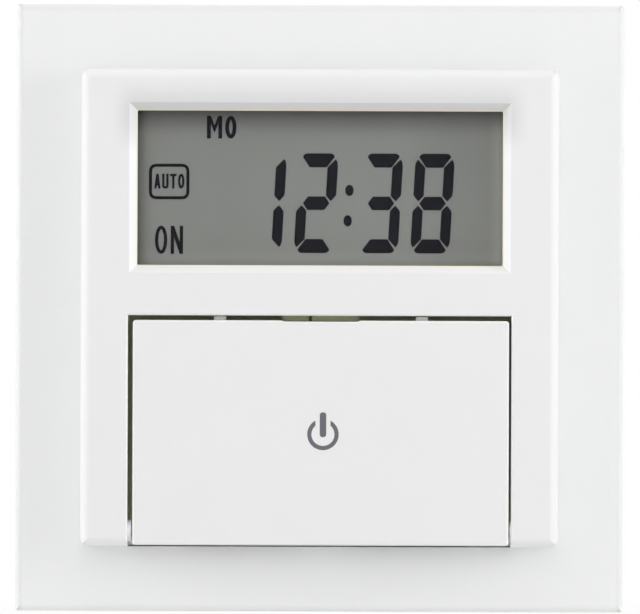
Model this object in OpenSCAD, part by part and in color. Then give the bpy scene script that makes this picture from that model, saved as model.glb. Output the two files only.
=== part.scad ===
// Flush-mounted timer light switch: a square cover frame, a raised plate with a display
// window, and a hinged flap over the programming keys. A steel ring carries it on the wall
// box, and an insert with the relay and the terminals reaches into the box.
// Lengths are in millimetres. The wall is the plane Y = 0, the front faces -Y and +Z is up.

/* [Cover frame] */
// Width and height of the square frame
frame_w = 81; // [78:0.5:86]
// Depth of the frame from the wall to its front face
frame_depth = 9.2; // [8.8:0.1:10]
// Thickness of the four outer walls
frame_wall = 2; // [1.4:0.1:2.6]
// Thickness of the front face
frame_front_t = 1.8; // [1.4:0.1:2.2]
// Radius of the outer front edge
frame_edge_r = 0.9; // [0.4:0.1:1.3]
// Radius of the four outer corners
frame_corner_r = 0.6; // [0.3:0.1:1.5]
// Thickness of the wall round the opening
opening_wall = 1.5; // [1:0.1:2]
// Height of the ledge above the wall, at its rear face
ledge_z = 4.5; // [4.3:0.1:4.9]
// Thickness of the ledge that the plate seats on
ledge_t = 1.5; // [1.2:0.1:1.7]
// How far the ledge reaches inwards from the opening
ledge_reach = 3.4; // [2.6:0.1:3.6]
// Thickness of the ribs in the hollow rear of the frame
frame_rib_t = 1.2; // [0.8:0.1:1.6]
// Distance between the ribs of one side
frame_rib_pitch = 22; // [16:1:26]

/* [Central plate] */
// Width and height of the square plate
plate_w = 63.4; // [62.6:0.1:64.4]
// How far the plate stands out of the frame
plate_proud = 3.8; // [3.2:0.1:4.4]
// Thickness of the plate's front
plate_t = 1.6; // [1.4:0.1:1.8]
// Thickness of the skirt round the plate
skirt_t = 1.4; // [1:0.1:1.6]
// Radius of the plate's corners
plate_corner_r = 1.3; // [0.8:0.1:2]
// Radius of the plate's front edge
plate_edge_r = 1.2; // [0.5:0.1:1.3]
// Gap between the plate and the opening of the frame
plate_gap = 0.12; // [0.08:0.01:0.3]
// Width of the display window
window_w = 48.5; // [46:0.5:49]
// Height of the display window
window_h = 20.5; // [19:0.1:20.8]
// Height of the window's centre above the plate's centre
window_y = 15.9; // [15.6:0.1:16.1]
// Width of the chamfer round the window
chamfer_w = 1.05; // [0.6:0.05:1.3]
// Depth of the chamfer round the window
chamfer_d = 0.9; // [0.5:0.05:1.1]
// Radius of the two screw posts behind the plate
post_r = 1.7; // [1.5:0.05:1.75]
// Distance of a screw post from the middle
post_x = 19.5; // [18.5:0.1:19.8]
// Height of the screw posts above the plate's centre
post_y = 1.9; // [1.8:0.05:2]

/* [Flap] */
// Width of the opening for the flap
bay_w = 50.85; // [50.5:0.05:51.2]
// Distance of the opening's upper edge below the plate's centre
bay_drop = 1.02; // [0.9:0.02:1.3]
// Chamfer on the front edges of the flap's opening
bay_edge = 0.18; // [0.1:0.02:0.3]
// Width of the flap
flap_w = 49.9; // [49:0.1:50]
// Gap above the flap
flap_top_gap = 0.64; // [0.55:0.01:0.8]
// How far the flap's lower edge stays back from the plate's
flap_bottom_gap = 0.22; // [0.18:0.01:0.4]
// Sideways play of the flap, taken up to the right
flap_play = 0.17; // [0:0.01:0.2]
// Thickness of the flap
flap_t = 1.6; // [1.4:0.1:1.8]
// Radius of the flap's front edge
flap_edge_r = 0.3; // [0.1:0.05:0.5]
// Radius of the flap's corners
flap_corner_r = 0.5; // [0.2:0.1:1]
// Width of the rim behind the flap
rim_t = 1; // [0.8:0.1:1.4]
// Depth of the rim behind the flap
rim_depth = 0.8; // [0.4:0.1:0.9]
// Width of the fingernail notch in the flap's upper edge
notch_w = 10.6; // [8:0.2:14]
// Height of the fingernail notch
notch_h = 0.15; // [0.1:0.01:0.18]
// Length of the slanting ends of the notch
notch_end = 0.5; // [0.2:0.1:1]
// Width of the two catches on the flap's upper edge
catch_w = 1.6; // [1.2:0.1:2.4]
// Height of the catches
catch_h = 0.5; // [0.3:0.02:0.52]
// Distance of a catch from the flap's middle
catch_x = 13.4; // [10:0.2:18]
// Radius of the stud that pushes the power key
stud_r = 2.2; // [1.5:0.1:3]
// Gap between the stud and the power key
stud_gap = 0.08; // [0.04:0.01:0.15]
// Radius of the hinge rod
rod_r = 0.75; // [0.6:0.05:0.85]
// Running clearance of the hinge rod
rod_clear = 0.03; // [0.02:0.005:0.06]
// Height of the hinge axis above the flap's lower edge
hinge_up = 1.83; // [1.7:0.01:1.9]
// Radius of the flap's hinge knuckles
knuckle_r = 1.4; // [1.3:0.05:1.42]
// Radius of the plate's hinge bosses
boss_r = 1.45; // [1.3:0.05:1.5]

/* [Display] */
// Thickness of the clear pane behind the window
pane_t = 1; // [0.8:0.1:1.2]
// Radius of the corners of the pane and the glasses
pane_r = 0.4; // [0.2:0.1:0.8]
// Margin of the pane round the window
pane_margin = 1.2; // [0.9:0.1:1.3]
// Gap between the pane and the display
lcd_gap = 0.3; // [0.2:0.05:0.5]
// Thickness of one display glass
glass_t = 1.1; // [0.7:0.1:1.2]
// Width of the display glass
glass_w = 51.4; // [50.4:0.1:51.6]
// Height of the front glass
glass_h = 22; // [21.6:0.1:22.1]
// Width of the contact ledge that the rear glass leaves free
glass_ledge = 2.2; // [2:0.1:2.6]
// Thickness of the reflector film
reflector_t = 0.3; // [0.2:0.05:0.4]
// Wall thickness of the display holder
holder_wall = 0.75; // [0.6:0.05:0.8]
// Clearance of the glass in its holder
glass_clear = 0.15; // [0.1:0.01:0.2]
// Width of a contact strip
strip_w = 1.6; // [1.2:0.1:1.7]
// Length of a contact strip
strip_len = 40; // [34:1:41]

/* [Keys] */
// Depth of the key bay behind the plate
bay_depth = 3.2; // [3:0.1:3.4]
// Thickness of the key deck
deck_t = 1.2; // [1:0.1:1.4]
// Thickness of the bay's side walls
deck_wall = 1; // [0.8:0.1:1]
// How far the tongue behind the flap's notch lies back from the bay's upper edge
tongue_sunk = 0.8; // [0.7:0.05:1.2]
// Thickness of the tongue
tongue_t = 1; // [0.8:0.1:1.2]
// Width of the slit in the tongue
slit_w = 0.4; // [0.2:0.05:0.6]
// Distance of the slit to the left of the tongue's middle
slit_x = 1.4; // [0:0.1:4]
// Width of a programming key
key_w = 10; // [8:0.5:11]
// Height of a programming key
key_h = 5; // [4:0.25:5.5]
// Distance of a key column from the middle
key_x = 17; // [16:0.25:17.5]
// Distance between the key rows
key_pitch = 7.75; // [7.25:0.05:7.8]
// Distance of the upper key row below the plate's centre
key_drop = 7; // [6:0.1:7.1]
// How far the programming keys stand out of the deck
key_proud = 1; // [0.6:0.1:1.2]
// Radius of the power key
power_r = 4.5; // [3.5:0.1:5]
// How far the power key stands out of the deck
power_proud = 1.7; // [1.4:0.1:1.9]
// Radius of the reset pin
reset_r = 0.7; // [0.5:0.05:1]
// How far the reset pin stays below the deck's front
reset_sunk = 0.3; // [0.1:0.05:0.5]
// Clearance round the keys in the deck
key_clear = 0.15; // [0.1:0.01:0.2]
// Width of the flange that keeps a key in
key_flange = 0.7; // [0.5:0.05:0.8]
// Thickness of a key flange
flange_t = 0.6; // [0.5:0.05:0.7]
// Gap between a key flange and the deck
flange_gap = 0.1; // [0.05:0.01:0.15]
// Travel of a key
key_travel = 0.25; // [0.15:0.01:0.28]
// Width of a push switch
tact_w = 6; // [5:0.1:6.2]
// Height of a push switch above the board
tact_h = 1.2; // [1:0.05:1.3]
// Radius of a push switch plunger
plunger_r = 1.5; // [1:0.05:1.75]
// Running clearance of a plunger
plunger_clear = 0.03; // [0.02:0.005:0.06]

/* [Boards and module back] */
// Thickness of the circuit boards
board_t = 1.6; // [1.2:0.1:1.8]
// Width and height of the control board
board_w = 53.2; // [52.8:0.1:53.4]
// Distance of the control board from the floor of the module back
board_gap = 0.6; // [0.5:0.05:0.8]
// Width and height of the module back
back_w = 56; // [55.8:0.1:56.4]
// Wall and floor thickness of the module back
back_t = 1.2; // [1:0.05:1.3]
// Shank radius of the module screws
module_screw_r = 0.95; // [0.8:0.05:1]
// Head radius of the module screws
module_head_r = 1.8; // [1.5:0.05:1.9]
// Pitch of the header pins
pin_pitch = 2.54; // [2:0.01:2.54]
// Width of a header pin
pin_w = 0.64; // [0.5:0.02:0.7]
// Height of the header above the plate's centre
header_y = 12; // [11:0.25:12.25]

/* [Support ring] */
// Gap between the steel ring and the outer walls of the frame
ring_margin = 3; // [1.5:0.25:3.5]
// Thickness of the ring
ring_t = 1.2; // [1:0.1:1.3]
// Width and height of the opening in the ring
ring_open_w = 34; // [30:0.5:34.5]
// Distance between the two box screws
box_spacing = 60; // [60:0.1:60.6]
// Width of a box screw slot
box_slot_w = 3.4; // [3.2:0.1:3.8]
// Length of a box screw slot
box_slot_len = 5; // [4.4:0.1:5.2]
// Shank radius of the ring screws
ring_screw_r = 1.2; // [1:0.05:1.3]
// Head radius of the ring screws
ring_head_r = 2; // [1.8:0.05:2.2]
// Distance of a ring screw from the insert's left or right side
ring_screw_in = 7; // [6:0.25:8]
// Distance of a ring screw from the insert's top or bottom
ring_screw_down = 4; // [3.8:0.05:4.2]

/* [Insert] */
// Width of the insert housing
insert_w = 40; // [39:0.25:40]
// Height of the insert housing
insert_h = 48; // [47.5:0.25:49]
// Depth of the insert behind the wall
insert_depth = 27; // [26.5:0.5:32]
// Corner radius of the insert housing
insert_r = 8; // [7:0.25:9]
// Wall thickness of the insert housing
insert_wall = 1.4; // [1.2:0.05:1.6]
// Thickness of the insert cover
cover_t = 1.4; // [1:0.1:2]
// Distance of the power board's front behind the wall
power_board_z = 8.4; // [8:0.1:9]
// Distance of the outer terminals from the inside of the insert's walls
terminal_margin = 1.6; // [1.4:0.1:3]
// Width of a terminal cage
cage_w = 7; // [6:0.25:7.2]
// Radius of the wire entry in a terminal
wire_r = 1.6; // [1.3:0.05:1.8]
// Shank radius of a terminal screw
terminal_screw_r = 1.5; // [1.2:0.05:1.6]

/* [Spreader claws] */
// Distance of a claw screw from the claw's pivot
claw_lever = 4; // [3.9:0.05:4.2]
// Shank radius of a claw screw
claw_screw_r = 1.5; // [1.4:0.05:1.5]
// Running clearance of the claw screw in its nut and of the claw in its ears
claw_clear = 0.05; // [0.03:0.005:0.08]
// Distance of a claw's pivot from the insert's side
claw_gap = 1; // [0.95:0.01:1.05]
// Distance of a claw's pivot behind the wall
claw_pivot_z = 4.5; // [4.4:0.1:5]
// Radius of a claw's pivot
claw_pivot_r = 0.9; // [0.8:0.02:0.95]
// Thickness of the claw's sheet steel
claw_t = 1.2; // [1:0.05:1.3]
// Width of a claw
claw_w = 9.2; // [8:0.2:10]
// Length of a claw's arm
claw_len = 16; // [12:0.5:18]
// Reach of a claw's flange from its pivot
claw_reach = 6.2; // [5.8:0.1:6.4]
// Width of a claw nut
nut_w = 4.6; // [4:0.1:4.6]
// Thickness of a claw nut under its ridge
nut_t = 1.6; // [1.2:0.1:1.8]
// Radius of the ridge on a claw nut
nut_ridge_r = 0.9; // [0.7:0.05:1]
// Gap between the nut's ridge and the claw's flange
nut_gap = 0.35; // [0.32:0.01:0.5]

/* [Hidden] */

$fn = 64;

// Cuts run past the faces they open by this much
past = 1;

// Heights above the wall, from the ring outwards
ledge_front = ledge_z + ledge_t;
plate_front = frame_depth + plate_proud;
plate_rear = plate_front - plate_t;
flap_rear = plate_front - flap_t;
pane_rear = plate_rear - pane_t;
glass_front = pane_rear - lcd_gap;
glass_seam = glass_front - glass_t;
glass_rear = glass_seam - glass_t;
reflector_rear = glass_rear - reflector_t;
deck_front = plate_rear - bay_depth;
deck_rear = deck_front - deck_t;
flange_front = deck_rear - flange_gap;
flange_rear = flange_front - flange_t;
floor_front = ring_t + back_t;
board_rear = floor_front + board_gap;
board_front = board_rear + board_t;
tact_front = board_front + tact_h;

// Opening of the frame and its ledge
opening_w = plate_w + 2 * plate_gap;
opening_r = plate_corner_r + plate_gap;
ledge_open_w = opening_w - 2 * ledge_reach;

// Flap, its opening and its hinge
bay_top = -bay_drop;
plate_bottom = -plate_w / 2;
flap_top = bay_top - flap_top_gap;
flap_bottom = plate_bottom + flap_bottom_gap;
flap_h = flap_top - flap_bottom;
flap_y = (flap_top + flap_bottom) / 2;
hinge_y = flap_bottom + hinge_up;
hinge_z = flap_rear;
flap_sweep = norm([hinge_up, flap_t]);
sweep_clear = 0.3;
rail_front = hinge_z - flap_sweep - sweep_clear;
boss_out = 0.15;
rod_end_gap = 1;
rod_len = plate_w - 2 * (skirt_t + rod_end_gap);
knuckle_len = 7;
middle_knuckle_len = 6;
rim_inset = 0.2;
rim_above_hinge = 3;
catch_sunk = 1.2;
tongue_side = 0.2;
tongue_clear = 0.1;
tongue_root = 0.5;
tongue_r = 0.3;

// Display holder
glass_open_w = glass_w + 2 * glass_clear;
glass_open_h = glass_h + 2 * glass_clear;
shelf_t = 0.6;
shelf_end = 0.5;
strip_y = glass_h / 2 - glass_ledge / 2;

// Keys: three rows in two columns round the power key
key_rows = [for (i = [0 : 2]) -key_drop - i * key_pitch];
power_y = flap_y;
reset_y = -key_drop;
key_r = 1;
key_tip_r = 0.4;
power_front = deck_front + power_proud;
plunger_sunk = 0.6;
plunger_rest = 0.05;
tact_r = 0.5;
key_spots = [
    for (x = [-key_x, key_x], y = key_rows) [x, y],
    [0, power_y],
    [0, reset_y]
];

// Key deck, from the top wall of the bay to the rail under the flap
deck_top = bay_top + deck_wall;
deck_gap = 0.15;
deck_bottom = plate_bottom + skirt_t + deck_gap;
deck_w = bay_w + 2 * deck_wall;
boss_room = 0.6;
deck_low_end = hinge_y + boss_r + boss_room;

// Control board parts
board_r = 1.5;
post_hole_clear = 0.2;
chip_w = 10;
chip_h = 1.5;
chip_x = -13;
crystal_x = 1.5;
crystal_len = 8;
crystal_up = 4;
crystal_w = 3.2;
crystal_h = 1.4;
cell_r = 6.25;
cell_t = 2;
cell_x = 12.5;
clip_t = 0.2;
clip_w = 4;
clip_foot = 2;

// Header and socket
pin_count = 5;
pin_out = 0.9;
pin_reach = 5.4;
pin_clear = 0.05;
header_end = 0.3;
header_side = 0.2;
header_w = pin_count * pin_pitch + 2 * header_end;
header_h = 2 * pin_pitch + 2 * header_side;
header_rear = 0.4;
socket_front = -0.2;
header_slot_clear = 0.3;

// Module back
back_r = 2.5;
screw_boss_extra = 0.3;
screw_boss_r = 2.6;
module_head_gap = 0.05;
module_head_t = 0.8;
module_head_rear = ring_t + module_head_gap;
module_head_front = module_head_rear + module_head_t;
module_shank = 5;
hook_x = 24;
hook_y = 14;
hook_w = 4.6;
hook_t = 1.2;
hook_barb = 0.5;
hook_reach = 1.6;
hook_clear = 0.3;

// Support ring
ring_w = frame_w - 2 * frame_wall - 2 * ring_margin;
ring_r = 5;
ring_open_r = 3;
ring_screw_x = insert_w / 2 - ring_screw_in;
ring_screw_y = insert_h / 2 - ring_screw_down;
ring_screw_len = 7;
screw_fit = 0.05;

// Insert
insert_open_w = insert_w - 2 * insert_wall;
insert_open_h = insert_h - 2 * insert_wall;
insert_open_r = insert_r - insert_wall;
insert_floor = -insert_depth + insert_wall;
insert_clear = 0.2;
insert_lid_w = insert_open_w - 2 * insert_clear;
insert_lid_h = insert_open_h - 2 * insert_clear;
insert_lid_r = insert_open_r - insert_clear;
insert_boss_r = 2.5;
insert_boss_z = -8.2;
power_front_z = -power_board_z;
power_rear_z = power_front_z - board_t;
board_pad_w = 3;
board_pad_t = 1.2;

// Terminals, in a block that closes the lower rear of the insert
terminal_pitch = (insert_open_w - 2 * terminal_margin - cage_w) / 3;
terminal_xs = [for (i = [-1.5 : 1 : 1.5]) i * terminal_pitch];
cage_h = 8;
cage_len = 10;
cage_r = 0.5;
cage_rear = insert_floor + insert_clear;
cage_front = cage_rear + cage_len;
block_floor = 4;
block_wall = 0.8;
block_front_wall = 1.4;
block_fit = 0.05;
cage_y = -insert_h / 2 + block_floor + cage_h / 2;
block_top = cage_y + cage_h / 2 + insert_clear + block_wall;
block_front = cage_front + block_front_wall;
wire_up = 1.2;
wire_y = cage_y + wire_up;
wire_depth = 8;
terminal_screw_in = 4.5;
terminal_screw_z = cage_rear + terminal_screw_in;
terminal_screw_reach = wire_y - wire_r / 2 - cage_y + cage_h / 2;
terminal_head_r = 2.1;
terminal_head_t = 1.8;
leg_w = 1.2;
leg_t = 0.8;

// Parts on the rear of the power board
part_margin = 2.6;
part_gap = 1.5;
relay_w = 19;
relay_h = 15;
relay_len = 14;
relay_r = 0.8;
relay_x = -insert_open_w / 2 + part_margin + relay_w / 2;
relay_y = insert_open_h / 2 - part_margin - relay_h / 2;
film_w = 8;
film_h = 17;
film_len = 13;
film_r = 1;
film_x = insert_open_w / 2 - part_margin - film_w / 2;
film_y = insert_open_h / 2 - part_margin - film_h / 2;
smoothing_r = 5;
smoothing_len = 13;
smoothing_x = -insert_open_w / 2 + part_margin + smoothing_r;
smoothing_y = relay_y - relay_h / 2 - part_gap - smoothing_r;
fuse_r = 4.2;
fuse_len = 8;
fuse_x = smoothing_x + smoothing_r + part_gap + fuse_r;
fuse_y = smoothing_y;

// Claws, drawn for the right-hand side
claw_pivot_x = insert_w / 2 + claw_gap;
claw_screw_x = claw_pivot_x + claw_lever;
claw_head_r = 2.5;
claw_head_t = 1.6;
claw_slot_clear = 0.25;
claw_slot_w = 2 * (claw_screw_r + claw_slot_clear);
ear_gap = 0.4;
ear_t = 1.4;
ear_r = 1.8;
roll_len = claw_w + 2 * ear_gap + 2 * ear_t;
tooth_reach = 1.8;
tooth_count = 3;
flange_under = -claw_pivot_z - claw_t / 2;
ridge_z = flange_under - nut_gap - nut_ridge_r;
claw_tip_out = 0.35;
claw_screw_tip = ridge_z - nut_t - claw_tip_out;
drive_slot_w = 0.8;
drive_slot_d = 0.7;

// Turns a piece drawn on the wall, x to the right, y up and z out of the wall, into the part's frame
module on_wall() {
    rotate([90, 0, 0]) children();
}

// Flat rectangle with round corners
module rounded(w, h, r) {
    square([w - 2 * r, h], center = true);
    square([w, h - 2 * r], center = true);
    for (x = [-1, 1], y = [-1, 1])
        translate([x * (w / 2 - r), y * (h / 2 - r)])
            circle(r);
}

// Slab with round corners between two heights above the wall
module slab(w, h, r, low, high) {
    translate([0, 0, low])
        linear_extrude(high - low)
            rounded(w, h, r);
}

// Cross-section of a block whose two front edges have the radius e
module front_rounded(w, low, high, e) {
    translate([-w / 2, low])
        square([w, high - e - low]);
    translate([-w / 2 + e, low])
        square([w - 2 * e, high - low]);
    for (x = [-1, 1])
        translate([x * (w / 2 - e), high - e])
            circle(e);
}

// Block with round corners whose front edges are rounded on all four sides
module crowned(w, h, r, low, high, e) {
    intersection() {
        slab(w, h, r, low, high);
        rotate([90, 0, 0])
            linear_extrude(h + 2 * past, center = true)
                front_rounded(w, low, high, e);
        rotate([90, 0, 90])
            linear_extrude(w + 2 * past, center = true)
                front_rounded(h, low, high, e);
    }
}

// Rectangular opening whose sides lean outwards from the height low, one unit of slope per unit of height
module flared(w, h, low, high, slope) {
    flare = slope * (high - low);
    intersection() {
        rotate([90, 0, 0])
            linear_extrude(h + 4 * flare, center = true)
                polygon([[-w / 2, low], [w / 2, low], [w / 2 + flare, high], [-w / 2 - flare, high]]);
        rotate([90, 0, 90])
            linear_extrude(w + 4 * flare, center = true)
                polygon([[-h / 2, low], [h / 2, low], [h / 2 + flare, high], [-h / 2 - flare, high]]);
    }
}

// Round bar between two heights above the wall
module bar(r, low, high) {
    translate([0, 0, low])
        cylinder(r = r, h = high - low);
}

// Round bar along x, centred
module rod_x(r, len) {
    rotate([0, 90, 0])
        cylinder(r = r, h = len, center = true);
}

// Round bar along y, centred
module rod_y(r, len) {
    rotate([90, 0, 0])
        cylinder(r = r, h = len, center = true);
}

module cover_frame() {
    channel_w = frame_w - 2 * frame_wall;
    channel_front = frame_depth - frame_front_t;
    color("whitesmoke")
        on_wall()
            difference() {
                crowned(frame_w, frame_w, frame_corner_r, 0, frame_depth, frame_edge_r);
                slab(opening_w, opening_w, opening_r, ledge_front, frame_depth + past);
                slab(ledge_open_w, ledge_open_w, back_r, -past, frame_depth + past);
                difference() {
                    slab(channel_w, channel_w, frame_corner_r, -past, channel_front);
                    slab(opening_w + 2 * opening_wall, opening_w + 2 * opening_wall, frame_corner_r,
                         ledge_z, frame_depth);
                    for (side = [0 : 90 : 270], i = [-1 : 1])
                        rotate([0, 0, side])
                            translate([i * frame_rib_pitch - frame_rib_t / 2, opening_w / 2, ledge_z])
                                cube([frame_rib_t, frame_w / 2 - opening_w / 2, frame_depth - ledge_z]);
                }
            }
}

module central_plate() {
    bay_h = bay_top - plate_bottom + past;
    color("whitesmoke")
        on_wall()
            difference() {
                union() {
                    difference() {
                        crowned(plate_w, plate_w, plate_corner_r, ledge_front, plate_front, plate_edge_r);
                        slab(plate_w - 2 * skirt_t, plate_w - 2 * skirt_t, skirt_t / 2,
                             ledge_front - past, plate_rear);
                        translate([-bay_w / 2, plate_bottom - past, rail_front])
                            cube([bay_w, bay_h, plate_front]);
                        translate([0, bay_top - bay_h / 2, 0])
                            flared(bay_w, bay_h, plate_front - bay_edge, plate_front + past, 1);
                    }
                    hinge_bosses();
                    for (x = [-post_x, post_x])
                        translate([x, post_y])
                            bar(post_r, floor_front + screw_boss_extra, plate_rear);
                }
                window_cut();
                translate([0, hinge_y, hinge_z])
                    rod_x(rod_r + rod_clear, rod_len);
                for (x = [-post_x, post_x])
                    translate([x, post_y])
                        bar(module_screw_r + screw_fit, 0, floor_front + module_shank + past);
            }
}

// Bosses behind the plate's legs that carry the hinge rod and reach a little into the gap beside the flap
module hinge_bosses() {
    boss_len = plate_w / 2 - skirt_t / 2 - bay_w / 2;
    for (side = [-1, 1])
        let (reach = (bay_w - flap_w) / 2 - side * flap_play - boss_out)
            translate([side * (bay_w / 2 - reach + (boss_len + reach) / 2), hinge_y, hinge_z])
                rod_x(boss_r, boss_len + reach);
}

// Opening for the display with its mitred chamfer
module window_cut() {
    translate([0, window_y, 0]) {
        slab(window_w, window_h, pane_r / 2, plate_rear - past, plate_front);
        flared(window_w, window_h, plate_front - chamfer_d, plate_front + past, chamfer_w / chamfer_d);
    }
}

module flap() {
    color("whitesmoke")
        on_wall()
            difference() {
                union() {
                    translate([flap_play, flap_y, 0])
                        crowned(flap_w, flap_h, flap_corner_r, flap_rear, plate_front, flap_edge_r);
                    flap_rim();
                    for (x = [-catch_x, catch_x])
                        translate([flap_play + x - catch_w / 2, flap_top - rim_t, flap_rear - rim_depth])
                            cube([catch_w, rim_t + catch_h, flap_t + rim_depth - catch_sunk]);
                    translate([0, power_y])
                        bar(stud_r, power_front + stud_gap, flap_rear);
                    flap_knuckles();
                }
                fingernail_notch();
                translate([0, hinge_y, hinge_z])
                    rod_x(rod_r + rod_clear, plate_w);
            }
}

// Cut in the flap's upper edge with slanting ends
module fingernail_notch() {
    half = notch_w / 2;
    translate([flap_play, flap_top, flap_rear - past])
        linear_extrude(flap_t + 2 * past)
            polygon([
                [-half, past],
                [-half, 0],
                [-half + notch_end, -notch_h],
                [half - notch_end, -notch_h],
                [half, 0],
                [half, past]
            ]);
}

// Stiffening rim behind the top and sides of the flap
module flap_rim() {
    outer_w = flap_w - 2 * rim_inset;
    outer_h = flap_h - 2 * rim_inset;
    translate([flap_play, flap_y, 0])
        difference() {
            slab(outer_w, outer_h, flap_corner_r, flap_rear - rim_depth, flap_rear);
            slab(outer_w - 2 * rim_t, outer_h - 2 * rim_t, flap_corner_r,
                 flap_rear - rim_depth - past, flap_rear);
            translate([-flap_w / 2, -flap_h, 0])
                cube([flap_w, flap_h / 2 + hinge_up + rim_above_hinge, flap_rear]);
        }
}

// Knuckles at the lower edge of the flap, one at each end and one in the middle
module flap_knuckles() {
    end_x = flap_w / 2 - knuckle_len / 2 - rim_inset;
    translate([flap_play, hinge_y, hinge_z]) {
        rod_x(knuckle_r, middle_knuckle_len);
        for (x = [-end_x, end_x])
            translate([x, 0, 0])
                rod_x(knuckle_r, knuckle_len);
    }
}

module hinge_rod() {
    color("silver")
        on_wall()
            translate([0, hinge_y, hinge_z])
                rod_x(rod_r, rod_len - 2 * boss_out);
}

module display_pane() {
    color("lightcyan", 0.4)
        on_wall()
            translate([0, window_y, 0])
                slab(window_w + 2 * pane_margin, window_h + 2 * pane_margin, pane_r,
                     pane_rear, plate_rear);
}

module lcd_front_glass() {
    color("darkgray")
        on_wall()
            translate([0, window_y, 0])
                slab(glass_w, glass_h, pane_r, glass_seam, glass_front);
}

module lcd_rear_glass() {
    color("darkgray")
        on_wall()
            translate([0, window_y, 0])
                slab(glass_w, glass_h - 2 * glass_ledge, pane_r, glass_rear, glass_seam);
}

module lcd_reflector() {
    color("gainsboro")
        on_wall()
            translate([0, window_y, 0])
                slab(glass_w, glass_h - 2 * glass_ledge, pane_r, reflector_rear, glass_rear);
}

// Frame on the control board that carries the display on a shelf at each end
module lcd_holder() {
    color("white")
        on_wall()
            translate([0, window_y, 0])
                difference() {
                    slab(glass_open_w + 2 * holder_wall, glass_open_h + 2 * holder_wall, holder_wall,
                         board_front, glass_front);
                    slab(glass_open_w, glass_open_h, pane_r, reflector_rear, glass_front + past);
                    slab(glass_open_w, glass_open_h, pane_r, board_front - past, reflector_rear - shelf_t);
                    slab(strip_len + 2 * shelf_end, glass_open_h, pane_r, board_front, glass_front);
                }
}

module contact_strips() {
    color("dimgray")
        on_wall()
            for (y = [-strip_y, strip_y])
                translate([0, window_y + y, 0])
                    slab(strip_len, strip_w, strip_w / 4, board_front, glass_seam);
}

// Slit tongue under the bay's upper wall, seen through the flap's notch
module notch_tongue() {
    low_end = flap_top - notch_h + tongue_clear;
    high_end = bay_top + tongue_root;
    front = plate_rear - tongue_sunk;
    difference() {
        translate([flap_play, (low_end + high_end) / 2, 0])
            slab(notch_w - 2 * tongue_side, high_end - low_end, tongue_r, front - tongue_t, front);
        translate([flap_play - slit_x - slit_w / 2, low_end - past, front - tongue_t - past])
            cube([slit_w, bay_top - low_end + past, tongue_t + 2 * past]);
    }
}

// Floor of the key bay with its key openings, the bay's three walls and the tongue
module key_deck() {
    deck_h = deck_top - deck_bottom;
    color("darkkhaki")
        on_wall()
            difference() {
                union() {
                    difference() {
                        translate([0, (deck_top + deck_bottom) / 2, 0])
                            slab(deck_w, deck_h, deck_wall / 2, deck_rear, plate_rear);
                        translate([-bay_w / 2, deck_bottom - past, deck_front])
                            cube([bay_w, bay_top - deck_bottom + past, plate_rear]);
                    }
                    notch_tongue();
                }
                translate([-deck_w, deck_bottom - past, rail_front])
                    cube([2 * deck_w, deck_low_end - deck_bottom + past, plate_rear]);
                for (x = [-key_x, key_x], y = key_rows)
                    translate([x, y, 0])
                        slab(key_w + 2 * key_clear, key_h + 2 * key_clear, key_r + key_clear,
                             deck_rear - past, deck_front + past);
                translate([0, power_y])
                    bar(power_r + key_clear, deck_rear - past, deck_front + past);
                translate([0, reset_y])
                    bar(reset_r + key_clear, deck_rear - past, deck_front + past);
            }
}

// Programming key with a rounded cap and the flange that keeps it behind the deck
module key_cap(x, row) {
    color("gainsboro")
        on_wall()
            translate([x, key_rows[row], 0]) {
                crowned(key_w, key_h, key_r, flange_rear, deck_front + key_proud, key_tip_r);
                slab(key_w + 2 * key_flange, key_h + 2 * key_flange, key_r, flange_rear, flange_front);
            }
}

module day_key() {
    key_cap(-key_x, 0);
}

module hour_key() {
    key_cap(-key_x, 1);
}

module minute_key() {
    key_cap(-key_x, 2);
}

module program_key() {
    key_cap(key_x, 0);
}

module mode_key() {
    key_cap(key_x, 1);
}

module enter_key() {
    key_cap(key_x, 2);
}

// Pin that is pushed with the tip of a pen
module reset_pin() {
    color("darkgray")
        on_wall()
            translate([0, reset_y]) {
                bar(reset_r, flange_rear, deck_front - reset_sunk);
                bar(reset_r + key_flange, flange_rear, flange_front);
            }
}

// Round key behind the middle of the flap, with a rounded rim
module power_key() {
    color("gainsboro")
        on_wall()
            translate([0, power_y]) {
                rotate_extrude() {
                    translate([0, flange_rear])
                        square([power_r, power_front - key_tip_r - flange_rear]);
                    translate([0, flange_rear])
                        square([power_r - key_tip_r, power_front - flange_rear]);
                    translate([power_r - key_tip_r, power_front - key_tip_r])
                        circle(key_tip_r);
                }
                bar(power_r + key_flange, flange_rear, flange_front);
            }
}

// Plunger of one push switch, from its bore to the key in front of it
module plunger(x, y) {
    color("dimgray")
        on_wall()
            translate([x, y])
                bar(plunger_r, tact_front - plunger_sunk, flange_rear);
}

module day_plunger() {
    plunger(-key_x, key_rows[0]);
}

module hour_plunger() {
    plunger(-key_x, key_rows[1]);
}

module minute_plunger() {
    plunger(-key_x, key_rows[2]);
}

module program_plunger() {
    plunger(key_x, key_rows[0]);
}

module mode_plunger() {
    plunger(key_x, key_rows[1]);
}

module enter_plunger() {
    plunger(key_x, key_rows[2]);
}

module reset_plunger() {
    plunger(0, reset_y);
}

module power_plunger() {
    plunger(0, power_y);
}

// Housings of the push switches, each with the blind bore of its plunger
module tact_housings() {
    bore_floor = tact_front - plunger_sunk - key_travel - plunger_rest;
    color("black")
        on_wall()
            for (spot = key_spots)
                translate([spot.x, spot.y])
                    difference() {
                        slab(tact_w, tact_w, tact_r, board_front, tact_front);
                        bar(plunger_r + plunger_clear, bore_floor, tact_front + past);
                    }
}

// Places of the header pins, two rows
module at_pins() {
    for (i = [0 : pin_count - 1], j = [-0.5, 0.5])
        translate([(i - (pin_count - 1) / 2) * pin_pitch, header_y + j * pin_pitch, 0])
            children();
}

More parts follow.
